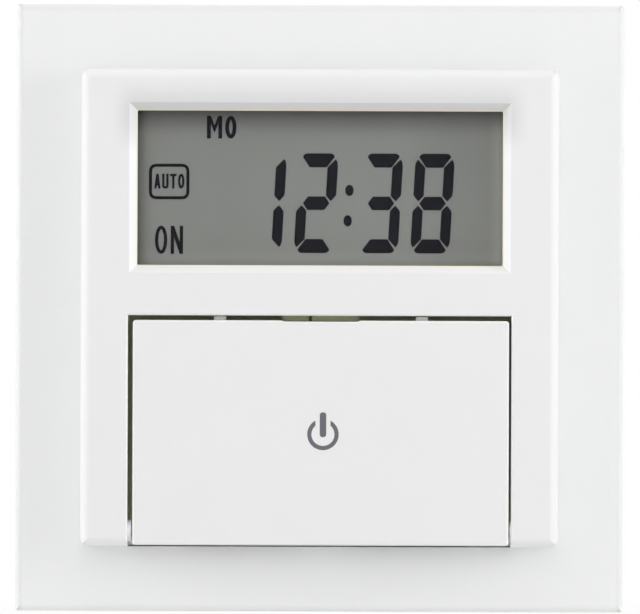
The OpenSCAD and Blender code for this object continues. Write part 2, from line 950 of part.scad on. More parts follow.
// Square bar at each header pin
module pin_bars(w, low, high) {
    at_pins()
        translate([-w / 2, -w / 2, low])
            cube([w, w, high - low]);
}

module control_board() {
    color("darkgreen")
        on_wall()
            difference() {
                slab(board_w, board_w, board_r, board_rear, board_front);
                for (x = [-post_x, post_x])
                    translate([x, post_y])
                        bar(post_r + post_hole_clear, board_rear - past, board_front + past);
                pin_bars(pin_w + 2 * pin_clear, board_rear - past, board_front + past);
            }
}

module microcontroller() {
    color("black")
        on_wall()
            translate([chip_x, window_y, 0])
                difference() {
                    slab(chip_w, chip_w, tact_r, board_front, board_front + chip_h);
                    translate([-chip_w / 3, chip_w / 3])
                        bar(tact_r, board_front + chip_h / 2, board_front + chip_h + past);
                }
}

module crystal() {
    color("silver")
        on_wall()
            translate([crystal_x, window_y + crystal_up, 0])
                crowned(crystal_w, crystal_len, crystal_w / 3,
                        board_front, board_front + crystal_h, key_tip_r);
}

module backup_cell() {
    color("silver")
        on_wall()
            translate([cell_x, window_y])
                bar(cell_r, board_front, board_front + cell_t);
}

// Spring clip over the backup cell with a foot at each end
module cell_clip() {
    span = 2 * (cell_r + clip_foot);
    foot = board_front + clip_t;
    top = board_front + cell_t;
    color("gold")
        on_wall()
            translate([cell_x, window_y, 0]) {
                translate([-clip_w / 2, -cell_r - clip_foot / 2, top])
                    cube([clip_w, 2 * cell_r + clip_foot, clip_t]);
                for (side = [-1, 1])
                    translate([-clip_w / 2, side * (cell_r + clip_foot / 2) - clip_t / 2, board_front])
                        cube([clip_w, clip_t, cell_t + clip_t]);
                difference() {
                    translate([-clip_w / 2, -span / 2, board_front])
                        cube([clip_w, span, clip_t]);
                    translate([-clip_w, -cell_r - clip_foot / 2, board_front - past])
                        cube([2 * clip_w, 2 * cell_r + clip_foot, foot]);
                }
            }
}

module header_pins() {
    color("gold")
        on_wall()
            pin_bars(pin_w, -pin_reach, board_front + pin_out);
}

module header_strip() {
    color("black")
        on_wall()
            difference() {
                translate([0, header_y, 0])
                    slab(header_w, header_h, tact_r, header_rear, board_rear);
                pin_bars(pin_w + 2 * pin_clear, header_rear - past, board_rear + past);
            }
}

// Rear tray of the front module, with hooks that snap behind the support ring
module module_back() {
    color("white")
        on_wall() {
            difference() {
                union() {
                    difference() {
                        slab(back_w, back_w, back_r, ring_t, board_front);
                        slab(back_w - 2 * back_t, back_w - 2 * back_t, back_r - back_t,
                             floor_front, board_front + past);
                    }
                    for (x = [-post_x, post_x])
                        translate([x, post_y])
                            bar(screw_boss_r, ring_t, floor_front + screw_boss_extra);
                }
                translate([0, header_y, 0])
                    slab(header_w + 2 * header_slot_clear, header_h + 2 * header_slot_clear, tact_r,
                         ring_t - past, floor_front + past);
                for (x = [-claw_screw_x, claw_screw_x])
                    translate([x, 0])
                        bar(claw_head_r + header_slot_clear, ring_t - past, floor_front + past / 2);
                for (x = [-post_x, post_x])
                    translate([x, post_y]) {
                        bar(module_screw_r + screw_fit, 0, floor_front + past);
                        bar(module_head_r + screw_fit, 0, module_head_front);
                    }
            }
            for (x = [-1, 1], y = [-hook_y, hook_y])
                translate([x * hook_x, y, 0])
                    snap_hook(x);
        }
}

// Hook with a sloping barb that points away from the middle
module snap_hook(side) {
    rotate([90, 0, 0])
        linear_extrude(hook_w, center = true)
            polygon([
                [-side * hook_t / 2, ring_t + back_t / 2],
                [side * hook_t / 2, ring_t + back_t / 2],
                [side * hook_t / 2, -flange_gap],
                [side * (hook_t / 2 + hook_barb), -flange_gap],
                [side * hook_t / 2, -hook_reach],
                [-side * hook_t / 2, -hook_reach]
            ]);
}

module module_screws() {
    color("silver")
        on_wall()
            for (x = [-post_x, post_x])
                translate([x, post_y]) {
                    bar(module_screw_r, module_head_rear, floor_front + module_shank);
                    bar(module_head_r, module_head_rear, module_head_front);
                }
}

// Steel plate with the box screw slots, the claw screw holes and countersunk ring screw holes
module support_ring() {
    color("silver")
        on_wall()
            difference() {
                slab(ring_w, ring_w, ring_r, 0, ring_t);
                slab(ring_open_w, ring_open_w, ring_open_r, -past, ring_t + past);
                for (side = [0 : 90 : 270])
                    rotate([0, 0, side])
                        translate([box_spacing / 2, 0, 0])
                            box_slot();
                for (x = [-claw_screw_x, claw_screw_x])
                    translate([x, 0])
                        bar(claw_screw_r + header_slot_clear, -past, ring_t + past);
                for (x = [-hook_x, hook_x], y = [-hook_y, hook_y])
                    translate([x, y, 0])
                        slab(hook_t + 2 * hook_clear, hook_w + 2 * hook_clear, hook_clear,
                             -past, ring_t + past);
                at_ring_screws()
                    ring_screw_hole();
            }
}

// Slot with round ends for a box screw
module box_slot() {
    end_x = (box_slot_len - box_slot_w) / 2;
    translate([-end_x, -box_slot_w / 2, -past])
        cube([2 * end_x, box_slot_w, ring_t + 2 * past]);
    for (x = [-end_x, end_x])
        translate([x, 0, 0])
            bar(box_slot_w / 2, -past, ring_t + past);
}

// Places of the four ring screws, each turned so that +y points to the nearest end of the insert
module at_ring_screws() {
    for (side = [0, 180], x = [-ring_screw_x, ring_screw_x])
        rotate([0, 0, side])
            translate([x, ring_screw_y, 0])
                children();
}

// Countersunk screw shape whose head is flush with the ring's front
module countersunk(extra, low) {
    bar(ring_screw_r + extra, low, ring_t);
    translate([0, 0, ring_t - (ring_head_r - ring_screw_r)])
        cylinder(r1 = ring_screw_r + extra, r2 = ring_head_r + extra, h = ring_head_r - ring_screw_r);
}

module ring_screw_hole() {
    countersunk(screw_fit, -past);
    bar(ring_head_r + screw_fit, ring_t, ring_t + past);
}

module ring_screws() {
    color("silver")
        on_wall()
            at_ring_screws()
                countersunk(0, -ring_screw_len);
}

// Pot of the insert with screw bosses, pads under the power board and claw ears, open where the block sits
module insert_housing() {
    color("dimgray")
        on_wall()
            difference() {
                union() {
                    difference() {
                        slab(insert_w, insert_h, insert_r, -insert_depth, 0);
                        slab(insert_open_w, insert_open_h, insert_open_r, insert_floor, past);
                    }
                    intersection() {
                        slab(insert_w, insert_h, insert_r, -insert_depth, 0);
                        at_ring_screws()
                            screw_boss(0, insert_boss_z, 0);
                    }
                    for (x = [-1, 1], y = [-1, 1])
                        translate([x * (insert_open_w / 2 - board_pad_t / 2), y * insert_h / 6, 0])
                            slab(board_pad_t + screw_fit, board_pad_w, screw_fit,
                                 insert_floor - screw_fit, power_rear_z);
                    for (side = [0, 180])
                        rotate([0, 0, side])
                            claw_ears();
                }
                at_ring_screws()
                    bar(ring_screw_r + screw_fit, -ring_screw_len - past / 2, past);
                block_room(block_fit, past);
            }
}

// Boss of a ring screw with a web out to the housing's wall, larger by extra all round
module screw_boss(extra, low, high) {
    bar(insert_boss_r + extra, low, high);
    translate([-insert_boss_r - extra, 0, low])
        cube([2 * (insert_boss_r + extra), ring_screw_down, high - low]);
}

// Lower rear corner of the insert, larger by extra in front and above and by beyond on the outside
module block_room(extra, beyond) {
    translate([-insert_w / 2 - beyond, -insert_h / 2 - beyond, -insert_depth - beyond])
        cube([
            insert_w + 2 * beyond,
            insert_h / 2 + block_top + beyond + extra,
            insert_depth + block_front + beyond + extra
        ]);
}

// Two ears beside the claw that carry its pivot
module claw_ears() {
    for (y = [-1, 1])
        translate([0, y * (claw_w / 2 + ear_gap + ear_t / 2), -claw_pivot_z])
            difference() {
                union() {
                    translate([claw_pivot_x, 0, 0])
                        rod_y(ear_r, ear_t);
                    translate([insert_w / 2 - insert_wall / 2, -ear_t / 2, -ear_r])
                        cube([claw_pivot_x - insert_w / 2 + insert_wall / 2, ear_t, 2 * ear_r]);
                }
                translate([claw_pivot_x, 0, 0])
                    rod_y(claw_pivot_r + claw_clear, ear_t + 2 * past);
            }
}

// Lid in the mouth of the insert with an opening for the socket
module insert_cover() {
    color("dimgray")
        on_wall()
            difference() {
                slab(insert_lid_w, insert_lid_h, insert_lid_r, -cover_t, 0);
                at_ring_screws()
                    screw_boss(insert_clear, -cover_t - past, past);
                translate([0, header_y, 0])
                    slab(header_w + 2 * header_slot_clear, header_h + 2 * header_slot_clear, tact_r,
                         -cover_t - past, past);
            }
}

module socket_strip() {
    color("black")
        on_wall()
            difference() {
                translate([0, header_y, 0])
                    slab(header_w, header_h, tact_r, power_front_z, socket_front);
                pin_bars(pin_w + 2 * pin_clear, -pin_reach - past / 2, past);
            }
}

module power_board() {
    color("darkgreen")
        on_wall()
            difference() {
                slab(insert_lid_w, insert_lid_h, insert_lid_r, power_rear_z, power_front_z);
                at_ring_screws()
                    screw_boss(insert_clear, power_rear_z - past, power_front_z + past);
            }
}

module relay() {
    color("royalblue")
        on_wall()
            translate([relay_x, relay_y, 0])
                slab(relay_w, relay_h, relay_r, power_rear_z - relay_len, power_rear_z);
}

module film_capacitor() {
    color("gold")
        on_wall()
            translate([film_x, film_y, 0])
                slab(film_w, film_h, film_r, power_rear_z - film_len, power_rear_z);
}

module smoothing_capacitor() {
    color("midnightblue")
        on_wall()
            translate([smoothing_x, smoothing_y])
                bar(smoothing_r, power_rear_z - smoothing_len, power_rear_z);
}

module fuse() {
    color("saddlebrown")
        on_wall()
            translate([fuse_x, fuse_y])
                bar(fuse_r, power_rear_z - fuse_len, power_rear_z);
}

// Block with a pocket for each terminal, a wire entry at the rear and a way to the screw from below
module terminal_block() {
    color("dimgray")
        on_wall()
            difference() {
                intersection() {
                    slab(insert_w, insert_h, insert_r, -insert_depth, block_front);
                    block_room(0, 0);
                }
                for (x = terminal_xs)
                    translate([x, 0, 0]) {
                        translate([0, cage_y, 0])
                            slab(cage_w + 2 * insert_clear, cage_h + 2 * insert_clear, cage_r,
                                 insert_floor, block_front + past);
                        translate([0, wire_y])
                            bar(wire_r + insert_clear, -insert_depth - past, insert_floor + past);
                        translate([0, -insert_h / 2, terminal_screw_z])
                            rod_y(terminal_head_r + insert_clear, 2 * block_floor);
                    }
            }
}

// Brass cages with a wire entry at the rear, a screw hole below and a leg up to the power board
module terminal_cages() {
    color("gold")
        on_wall()
            for (x = terminal_xs)
                translate([x, 0, 0]) {
                    difference() {
                        translate([0, cage_y, 0])
                            slab(cage_w, cage_h, cage_r, cage_rear, cage_front);
                        translate([0, wire_y])
                            bar(wire_r, cage_rear - past, cage_rear + wire_depth);
                        translate([0, cage_y - cage_h / 2, terminal_screw_z])
                            rod_y(terminal_screw_r + screw_fit, 2 * terminal_screw_reach);
                    }
                    translate([-leg_w / 2, cage_y - leg_t / 2, cage_front])
                        cube([leg_w, leg_t, power_rear_z - cage_front]);
                }
}

module terminal_screws() {
    tip = wire_y - wire_r - insert_clear;
    head = cage_y - cage_h / 2;
    color("silver")
        on_wall()
            for (x = terminal_xs)
                translate([x, 0, terminal_screw_z]) {
                    translate([0, (tip + head) / 2, 0])
                        rod_y(terminal_screw_r, tip - head);
                    translate([0, head - terminal_head_t / 2, 0])
                        difference() {
                            rod_y(terminal_head_r, terminal_head_t);
                            translate([-terminal_head_r, -terminal_head_t, -drive_slot_w / 2])
                                cube([2 * terminal_head_r, terminal_head_t / 2 + drive_slot_d, drive_slot_w]);
                        }
                }
}

// Bent sheet claw: a pivot roll, a forked flange that the nut pushes and an arm with teeth
module claw() {
    color("silver")
        on_wall()
            translate([claw_pivot_x, 0, -claw_pivot_z]) {
                rod_y(claw_pivot_r, roll_len);
                difference() {
                    translate([0, -claw_w / 2, -claw_t / 2])
                        cube([claw_reach, claw_w, claw_t]);
                    translate([claw_pivot_r + claw_t / 2, -claw_slot_w / 2, -claw_t])
                        cube([claw_reach, claw_slot_w, 2 * claw_t]);
                }
                translate([-claw_t / 2, -claw_w / 2, -claw_len])
                    cube([claw_t, claw_w, claw_len]);
                for (i = [0 : tooth_count - 1])
                    translate([0, (i - (tooth_count - 1) / 2) * claw_w / tooth_count, -claw_len])
                        claw_tooth();
            }
}

// Pointed tooth at the end of a claw's arm
module claw_tooth() {
    half = claw_w / tooth_count / 2;
    linear_extrude(claw_t)
        polygon([[0, -half], [claw_t / 2 + tooth_reach, 0], [0, half]]);
}

// Slotted screw whose head rests on the ring
module claw_screw() {
    color("silver")
        on_wall()
            translate([claw_screw_x, 0, 0]) {
                bar(claw_screw_r, claw_screw_tip, ring_t);
                difference() {
                    bar(claw_head_r, ring_t, ring_t + claw_head_t);
                    translate([-claw_head_r, -drive_slot_w / 2, ring_t + claw_head_t - drive_slot_d])
                        cube([2 * claw_head_r, drive_slot_w, drive_slot_d + past]);
                }
            }
}

// Square nut with a round ridge that bears on the claw's flange
module claw_nut() {
    color("silver")
        on_wall()
            translate([claw_screw_x, 0, ridge_z])
                difference() {
                    union() {
                        translate([-nut_w / 2, -nut_w / 2, -nut_t])
                            cube([nut_w, nut_w, nut_t]);
                        rod_y(nut_ridge_r, nut_w);
                    }
                    bar(claw_screw_r + claw_clear, -nut_t - past, nut_ridge_r + past);
                }
}

// The left claw set is the right one turned half round
module left_side() {
    rotate([0, 180, 0]) children();
}

module right_claw() {
    claw();
}

module right_claw_screw() {
    claw_screw();
}

module right_claw_nut() {
    claw_nut();
}

module left_claw() {
    left_side() claw();
}

module left_claw_screw() {
    left_side() claw_screw();
}

module left_claw_nut() {
    left_side() claw_nut();
}

cover_frame();
central_plate();
flap();
hinge_rod();
display_pane();
lcd_front_glass();
lcd_rear_glass();
lcd_reflector();
lcd_holder();
contact_strips();
key_deck();
day_key();
hour_key();
minute_key();
program_key();
mode_key();
enter_key();
reset_pin();
power_key();
day_plunger();
hour_plunger();
minute_plunger();
program_plunger();
mode_plunger();
enter_plunger();
reset_plunger();
power_plunger();
tact_housings();
control_board();
microcontroller();
crystal();
backup_cell();
cell_clip();
header_pins();
header_strip();
module_back();
module_screws();
support_ring();
ring_screws();
insert_housing();
insert_cover();
socket_strip();
power_board();
relay();
film_capacitor();
smoothing_capacitor();
fuse();
terminal_block();
terminal_cages();
terminal_screws();
left_claw();
left_claw_screw();
left_claw_nut();
right_claw();
right_claw_screw();
right_claw_nut();
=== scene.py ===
"""Timer light switch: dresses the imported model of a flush-mounted timer switch.

White mouldings, a grey display with its clock, a printed power sign, marked keys behind the
flap, the electronics and the wall side each get their finish, and a plain stage lights them.
Lengths inside the shape functions are in millimetres, x to the right and z up.
"""
import math

import bpy
import numpy as np
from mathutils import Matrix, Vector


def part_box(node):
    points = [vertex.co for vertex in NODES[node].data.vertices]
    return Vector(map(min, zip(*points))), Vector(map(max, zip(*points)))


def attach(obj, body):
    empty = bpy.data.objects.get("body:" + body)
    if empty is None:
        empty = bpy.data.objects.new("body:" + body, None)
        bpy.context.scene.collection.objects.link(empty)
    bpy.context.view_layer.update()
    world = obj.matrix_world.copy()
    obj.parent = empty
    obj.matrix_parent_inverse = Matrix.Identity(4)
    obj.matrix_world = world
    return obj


bl_info = {
    "name": "Timer Light Switch",
    "version": (1, 0, 0),
    "blender": (4, 5, 0),
    "location": "3D View > Sidebar > Timer Switch",
    "description": "Dresses the pieces of a flush-mounted timer light switch and lights them",
    "category": "Object",
}

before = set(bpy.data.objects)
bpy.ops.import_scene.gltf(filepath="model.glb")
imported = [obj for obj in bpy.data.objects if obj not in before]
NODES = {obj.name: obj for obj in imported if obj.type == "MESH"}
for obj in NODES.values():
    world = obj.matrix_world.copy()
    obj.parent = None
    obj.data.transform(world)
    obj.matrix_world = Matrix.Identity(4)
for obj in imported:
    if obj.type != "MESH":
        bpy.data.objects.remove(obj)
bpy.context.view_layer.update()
MM = 0.001

KEYS = ("day", "hour", "minute", "program", "mode", "enter")

# How far print stands in front of its piece, and how thick it is, in metres
PRINT_PROUD, PRINT_DEPTH = 0.008 * MM, 0.012 * MM
SEGMENT_PROUD, SEGMENT_DEPTH = 0.03 * MM, 0.04 * MM

# Moulded finishes: roughness, size and depth of the grain in metres, drift of the tone
FINISH = {
    "matt_white": (0.55, 0.3 * MM, 0.002 * MM, 0.02),
    "display_ink": (0.6, 0.5 * MM, 0.0, 0.1),
    "pearl_film": (0.5, 0.1 * MM, 0.001 * MM, 0.03),
    "printed_grey": (0.45, 0.15 * MM, 0.0, 0.06),
    "deck_pale_olive": (0.55, 0.3 * MM, 0.002 * MM, 0.06),
    "key_grey": (0.5, 0.25 * MM, 0.002 * MM, 0.04),
    "plunger_dark": (0.45, 0.2 * MM, 0.001 * MM, 0.05),
    "key_print": (0.5, 0.2 * MM, 0.0, 0.03),
    "case_black": (0.42, 0.15 * MM, 0.001 * MM, 0.1),
    "film_yellow": (0.3, 0.4 * MM, 0.001 * MM, 0.06),
    "fuse_brown": (0.4, 0.3 * MM, 0.001 * MM, 0.08),
    "insert_grey": (0.48, 0.35 * MM, 0.003 * MM, 0.06),
}

# Metal finishes: roughness, and the lay of the fine lines, which run along the axis with the small number
METAL = {
    "drawn_wire": (0.5, (0.05, 1, 1)),
    "bright_can": (0.22, (1, 1, 1)),
    "spring_sheet": (0.3, (1, 1, 0.1)),
    "zinc_sheet": (0.32, (0.06, 1, 1)),
    "zinc_claw": (0.36, (1, 0.1, 1)),
    "zinc_screw": (0.26, (1, 1, 1)),
    "terminal_brass": (0.3, (1, 0.2, 1)),
    "pin_brass": (0.22, (1, 0.1, 1)),
}
ZINC_DRIFT, BRASS_DRIFT = (0.98, 0.99, 1.03), (1.02, 1.0, 0.95)

# Width of a letter that is wider than the others, as a multiple of theirs
WIDE_LETTERS = {"M": 1.35}


# Shader maths

class Shade:
    """A shader socket in a Python expression: each operator adds one Math node."""

    def __init__(self, paint, socket):
        self.paint = paint
        self.socket = socket

    def _math(self, operation, first, second):
        return self.paint.node("ShaderNodeMath", {"operation": operation}, {0: first, 1: second})

    def __add__(self, other):
        return self._math("ADD", self, other)

    def __sub__(self, other):
        return self._math("SUBTRACT", self, other)

    def __rsub__(self, other):
        return self._math("SUBTRACT", other, self)

    def __mul__(self, other):
        return self._math("MULTIPLY", self, other)

    __radd__ = __add__
    __rmul__ = __mul__


class Nodes:
    """A node tree, with the one method that adds nodes to it."""

    def __init__(self, tree):
        self.tree = tree

    def node(self, kind, settings, inputs, output=0):
        """Adds a node of any type: its settings first, then the values or links of its sockets."""
        node = self.tree.nodes.new(kind)
        for key, value in settings.items():
            setattr(node, key, value)
        for key, value in inputs.items():
            if isinstance(value, Shade):
                self.tree.links.new(value.socket, node.inputs[key])
            else:
                node.inputs[key].default_value = value
        return Shade(self, node.outputs[output])

    def link(self, name, links):
        """Links sockets of a node that the tree was made with."""
        for socket, shade in links.items():
            self.tree.links.new(shade.socket, self.tree.nodes[name].inputs[socket])

    def seen(self):
        """1 for rays from the camera, in a reflection or through glass, and 0 for light on the object."""
        rays = [self.node("ShaderNodeLightPath", {}, {}, f"Is {kind} Ray")
                for kind in ("Camera", "Glossy", "Transmission")]
        either = self.node("ShaderNodeMath", {"operation": "MAXIMUM"}, {0: rays[0], 1: rays[1]})
        return self.node("ShaderNodeMath", {"operation": "MAXIMUM"}, {0: either, 1: rays[2]})


class Paint(Nodes):
    """A procedural material: one Principled shader and the nodes that feed it."""

    def __init__(self, name, constants=None):
        self.material = bpy.data.materials.new(name)
        self.material.use_nodes = True
        super().__init__(self.material.node_tree)
        self.shader = self.tree.nodes["Principled BSDF"]
        for socket, value in (constants or {}).items():
            self.shader.inputs[socket].default_value = value

    def feed(self, links):
        """Links sockets of the shader to what varies over the surface."""
        self.link("Principled BSDF", links)

    def place(self, stretch=(1, 1, 1)):
        """The point on the object, in metres, with each axis multiplied by its stretch."""
        point = self.node("ShaderNodeTexCoord", {}, {}, "Object")
        return self.node("ShaderNodeMapping", {}, {"Vector": point, "Scale": stretch})

    def axis(self, name):
        """One coordinate of the point on the object, in metres."""
        return self.node("ShaderNodeSeparateXYZ", {}, {0: self.place()}, name)

    def noise(self, size, detail=2.0, stretch=(1, 1, 1)):
        """Soft noise from 0 to 1 whose features are about as large as size, in metres."""
        return self.node("ShaderNodeTexNoise", {},
                         {"Vector": self.place(stretch), "Scale": 1 / size, "Detail": detail})

    def ramp(self, value, low, high):
        """0 below low and 1 above high, with a smooth step between them."""
        return self.node("ShaderNodeMapRange", {"interpolation_type": "SMOOTHSTEP"},
                         {"Value": value, "From Min": low, "From Max": high})

    def mix(self, factor, first, second):
        """The first colour at factor 0 and the second at factor 1; the node takes them at sockets 6 and 7."""
        colours = {socket: c if isinstance(c, Shade) else (*c, 1)
                   for socket, c in ((6, first), (7, second))}
        return self.node("ShaderNodeMix", {"data_type": "RGBA"}, {0: factor, **colours}, 2)

    def bump(self, height, depth):
        """A normal bent by a height from 0 to 1 that stands for depth, in metres."""
        return self.node("ShaderNodeBump", {}, {"Strength": 1.0, "Distance": depth, "Height": height})


def tinted(colour, share):
    """A colour multiplied by a share, each part kept at 1 or less."""
    return tuple(min(1.0, part * share) for part in colour)


def moulded(name, colour, roughness, grain, depth, spread, sheen=0.5, tint=None):
    """Moulded plastic: the tone drifts over some millimetres, a fine eroded grain sets gloss and bump.

    A tint, where one is given, takes the paint and its colour and returns the colour place by place.
    """
    cloud_size, speck_range, cloud_range = 14 * MM, 0.14, 0.06
    paint = Paint(name, {"Specular IOR Level": sheen})
    cloud = paint.noise(cloud_size, 2)
    speck = paint.noise(grain, 3)
    rough = speck * speck_range + (roughness - speck_range / 2) + (cloud - 0.5) * cloud_range
    tone = paint.mix(cloud, tinted(colour, 1 - spread), tinted(colour, 1 + spread))
    paint.feed({
        # For the frame and the plate the tint paints shade, and on the plate it adds the cream walls
        "Base Color": tint(paint, tone) if tint else tone,
        "Roughness": rough,
        "Normal": paint.bump(speck, depth),
    })
    return paint.material


def plated(name, colour, roughness, lay, drift=ZINC_DRIFT):
    """Plated or drawn metal: fine lines along the lay, and a plating whose tint drifts a little."""
    cloud_size, line_size, line_depth = 6 * MM, 0.25 * MM, 0.002 * MM
    line_range, cloud_range, dull = 0.22, 0.08, 0.94
    paint = Paint(name, {"Metallic": 1.0})
    cloud = paint.noise(cloud_size, 3)
    line = paint.noise(line_size, 3, lay)
    warm = tuple(part / tint for part, tint in zip(colour, drift))
    cool = tuple(part * tint for part, tint in zip(colour, drift))
    paint.feed({
        "Base Color": paint.mix(cloud, tinted(warm, dull), tinted(cool, 1.0)),
        "Roughness": line * line_range + cloud * cloud_range + (roughness - (line_range + cloud_range) / 2),
        "Normal": paint.bump(line, line_depth),
    })
    return paint.material


def dress(material, *names):
    """Gives CAD nodes a material in place of the one they were packed with."""
    for name in names:
        slots = NODES[name].data.materials
        slots.clear()
        slots.append(material)


# Flat shapes

def eased(corners, radii, steps=7):
    """Closed outline: each corner C becomes (1-t)^2 A + 2t(1-t) C + t^2 B, with A and B a radius away."""
    c = np.asarray(corners, float)
    reach = np.broadcast_to(radii, len(c))[:, None]
    back, ahead = (np.roll(c, turn, axis=0) - c for turn in (1, -1))
    a = c + reach * back / np.linalg.norm(back, axis=1, keepdims=True)
    b = c + reach * ahead / np.linalg.norm(ahead, axis=1, keepdims=True)
    t = np.linspace(0, 1, steps)[None, :, None]
    curve = (1 - t) ** 2 * a[:, None] + 2 * t * (1 - t) * c[:, None] + t ** 2 * b[:, None]
    return curve.reshape(-1, 2)


def eased_run(corners, radius):
    """Open path along corner points, its inner corners rounded as in eased and its ends kept."""
    c = np.asarray(corners, float)
    loop = eased(c, radius).reshape(len(c), -1, 2)
    return np.vstack([c[:1], loop[1:-1].reshape(-1, 2), c[-1:]])


def disc(outline):
    """Slab in a convex outline: P(u, v) = centre + v (outline(u) - centre), front, rear and rim."""
    n = len(outline)
    flat = np.vstack([outline.mean(axis=0), outline])
    layers = [np.column_stack([flat, np.full(n + 1, layer)]) for layer in (0.0, 1.0)]
    i = np.arange(1, n + 1)
    j = np.roll(i, -1)
    rear = n + 1
    caps = np.vstack([
        np.column_stack([np.zeros(n, int), i, j]),
        np.column_stack([np.full(n, rear), j + rear, i + rear]),
    ])
    rim = np.column_stack([i, i + rear, j + rear, j])
    return np.vstack(layers), caps.tolist() + rim.tolist()


def prism(outline):
    """Slab in any simple outline: the outline is carried straight back from layer 0 to layer 1."""
    n = len(outline)
    layers = [np.column_stack([outline, np.full(n, layer)]) for layer in (0.0, 1.0)]
    i = np.arange(n)
    j = np.roll(i, -1)
    rim = np.column_stack([i, i + n, j + n, j])
    return np.vstack(layers), [i.tolist(), (i[::-1] + n).tolist()] + rim.tolist()


def band(left, right, closed=False):
    """Slab between two edges: the four corners of its section are carried from station to station."""
    n = len(left)
    layers = [np.column_stack([edge, np.full(n, layer)])
              for edge, layer in ((left, 0.0), (right, 0.0), (right, 1.0), (left, 1.0))]
    index = np.arange(4 * n).reshape(4, n)
    ahead = np.roll(index, -1, axis=1)
    side, side_ahead = (np.roll(grid, -1, axis=0) for grid in (index, ahead))
    quads = np.stack([side, side_ahead, ahead, index], axis=-1)
    if closed:
        return np.vstack(layers), quads.reshape(-1, 4).tolist()
    ends = np.stack([index[[0, 3, 2, 1], 0], index[:, -1]])
    return np.vstack(layers), quads[:, :-1].reshape(-1, 4).tolist() + ends.tolist()


def stroke(path, width, closed=False):
    """Slab of one width along a path: its edges lie half the width to each side of the tangent."""
    if closed:
        tangent = np.roll(path, -1, axis=0) - np.roll(path, 1, axis=0)
    else:
        tangent = np.gradient(path, axis=0)
    tangent = tangent / np.linalg.norm(tangent, axis=1, keepdims=True)
    left = np.column_stack([-tangent[:, 1], tangent[:, 0]])
    return band(path + left * width / 2, path - left * width / 2, closed)


def ellipse(centre, width, height, steps=40):
    """Outline centre + (width/2 cos a, height/2 sin a)."""
    a = np.linspace(0, 2 * math.pi, steps, endpoint=False)
    return np.asarray(centre) + np.column_stack([width / 2 * np.cos(a), height / 2 * np.sin(a)])


def straight_letters(w, h, t):
    """Outlines of the letters with straight strokes t thick, in a box w wide and h high.

    A slanting stroke lies between two parallel lines: in A they are t apart along the foot, in M
    twice t apart upright and in N a share of the height. The bar of A ends on the inner lines of its legs.
    """
    mid, drop, fall = w / 2, 2 * t, 0.42 * h
    lean = (mid - t / 2) / h
    low, high = 0.2 * h, 0.2 * h + t
    under, over = (h - t) / 2, (h + t) / 2
    return {
        "A": [[(0, 0), (t, 0), (mid, (mid - t) / lean), (w - t, 0), (w, 0),
               (mid + t / 2, h), (mid - t / 2, h)],
              [(t + lean * low, low), (w - t - lean * low, low),
               (w - t - lean * high, high), (t + lean * high, high)]],
        "H": [[(0, 0), (t, 0), (t, under), (w - t, under), (w - t, 0), (w, 0),
               (w, h), (w - t, h), (w - t, over), (t, over), (t, h), (0, h)]],
        "M": [[(0, 0), (t, 0), (t, h - drop), (mid, h / 4), (w - t, h - drop), (w - t, 0), (w, 0),
               (w, h), (w - t, h), (mid, h / 4 + drop), (t, h), (0, h)]],
        "N": [[(0, 0), (t, 0), (t, h - fall), (w - t, 0), (w, 0),
               (w, h), (w - t, h), (w - t, fall), (t, h), (0, h)]],
        "T": [[(mid - t / 2, 0), (mid + t / 2, 0), (mid + t / 2, h - t), (w, h - t),
               (w, h), (0, h), (0, h - t), (mid - t / 2, h - t)]],
    }


def round_letters(w, h, t):
    """Middle lines of the letters with round corners, in the same box: the path and whether it is closed."""
    left, right, low, high = t / 2, w - t / 2, t / 2, h - t / 2
    bowl, tight = 0.45 * min(w - t, h - t), 0.75 * t
    waist = 0.44 * h
    box = [(left, low), (right, low), (right, high), (left, high)]
    return {
        "D": (eased(box, [tight, bowl, bowl, tight]), True),
        "O": (ellipse((w / 2, h / 2), w - t, h - t), True),
        "P": (eased_run([(left, 0), (left, high), (right, high), (right, waist), (t, waist)],
                        [tight, tight, bowl / 2, bowl / 2, tight]), False),
        "U": (eased_run([(left, h), (left, low), (right, low), (right, h)], bowl), False),
    }


def lettering(text, low, high, width, gap):
    """Slabs of a word that fills the box from low to high, with strokes of one width."""
    corner, high = np.asarray(low, float), np.asarray(high, float)
    shares = [WIDE_LETTERS.get(letter, 1) for letter in text]
    unit = (high[0] - corner[0] - gap * (len(text) - 1)) / sum(shares)
    slabs = []
    for letter, part in zip(text, shares):
        box = (unit * part, high[1] - corner[1], width)
        straight = straight_letters(*box)
        if letter in straight:
            slabs += [prism(corner + np.array(outline)) for outline in straight[letter]]
        else:
            line, closed = round_letters(*box)[letter]
            slabs.append(stroke(corner + line, width, closed))
        corner = corner + (box[0] + gap, 0)
    return slabs


def piece(name, slabs, front, depth, body, material):
    """One object of many slabs: layer 0 lies at front, layer 1 depth behind it, along Y in metres."""
    starts = np.cumsum([0] + [len(points) for points, _ in slabs[:-1]])
    points = np.vstack([points for points, _ in slabs])
    corners = np.column_stack([points[:, 0] * MM, front + points[:, 2] * depth, points[:, 1] * MM])
    faces = [[start + corner for corner in face]
             for start, (_, part) in zip(starts.tolist(), slabs) for face in part]
    mesh = bpy.data.meshes.new(name)
    mesh.from_pydata(corners.tolist(), [], faces)
    mesh.materials.append(material)
    mesh.validate()
    obj = bpy.data.objects.new(name, mesh)
    bpy.context.scene.collection.objects.link(obj)
    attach(obj, body)
    return obj


def front_of(node):
    """Y of the front face of a CAD node, in metres."""
    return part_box(node)[0][1]


# Settings

def length(label, text, default, **limits):
    """A length in metres, for a PropertyGroup."""
    return bpy.props.FloatProperty(name=label, description=text, default=default, unit="LENGTH",
                                   precision=5, **limits)


def share(label, text, default):
    """A plain factor from 0 to 1, for a PropertyGroup."""
    return bpy.props.FloatProperty(name=label, description=text, default=default, min=0, max=1,
                                   subtype="FACTOR")


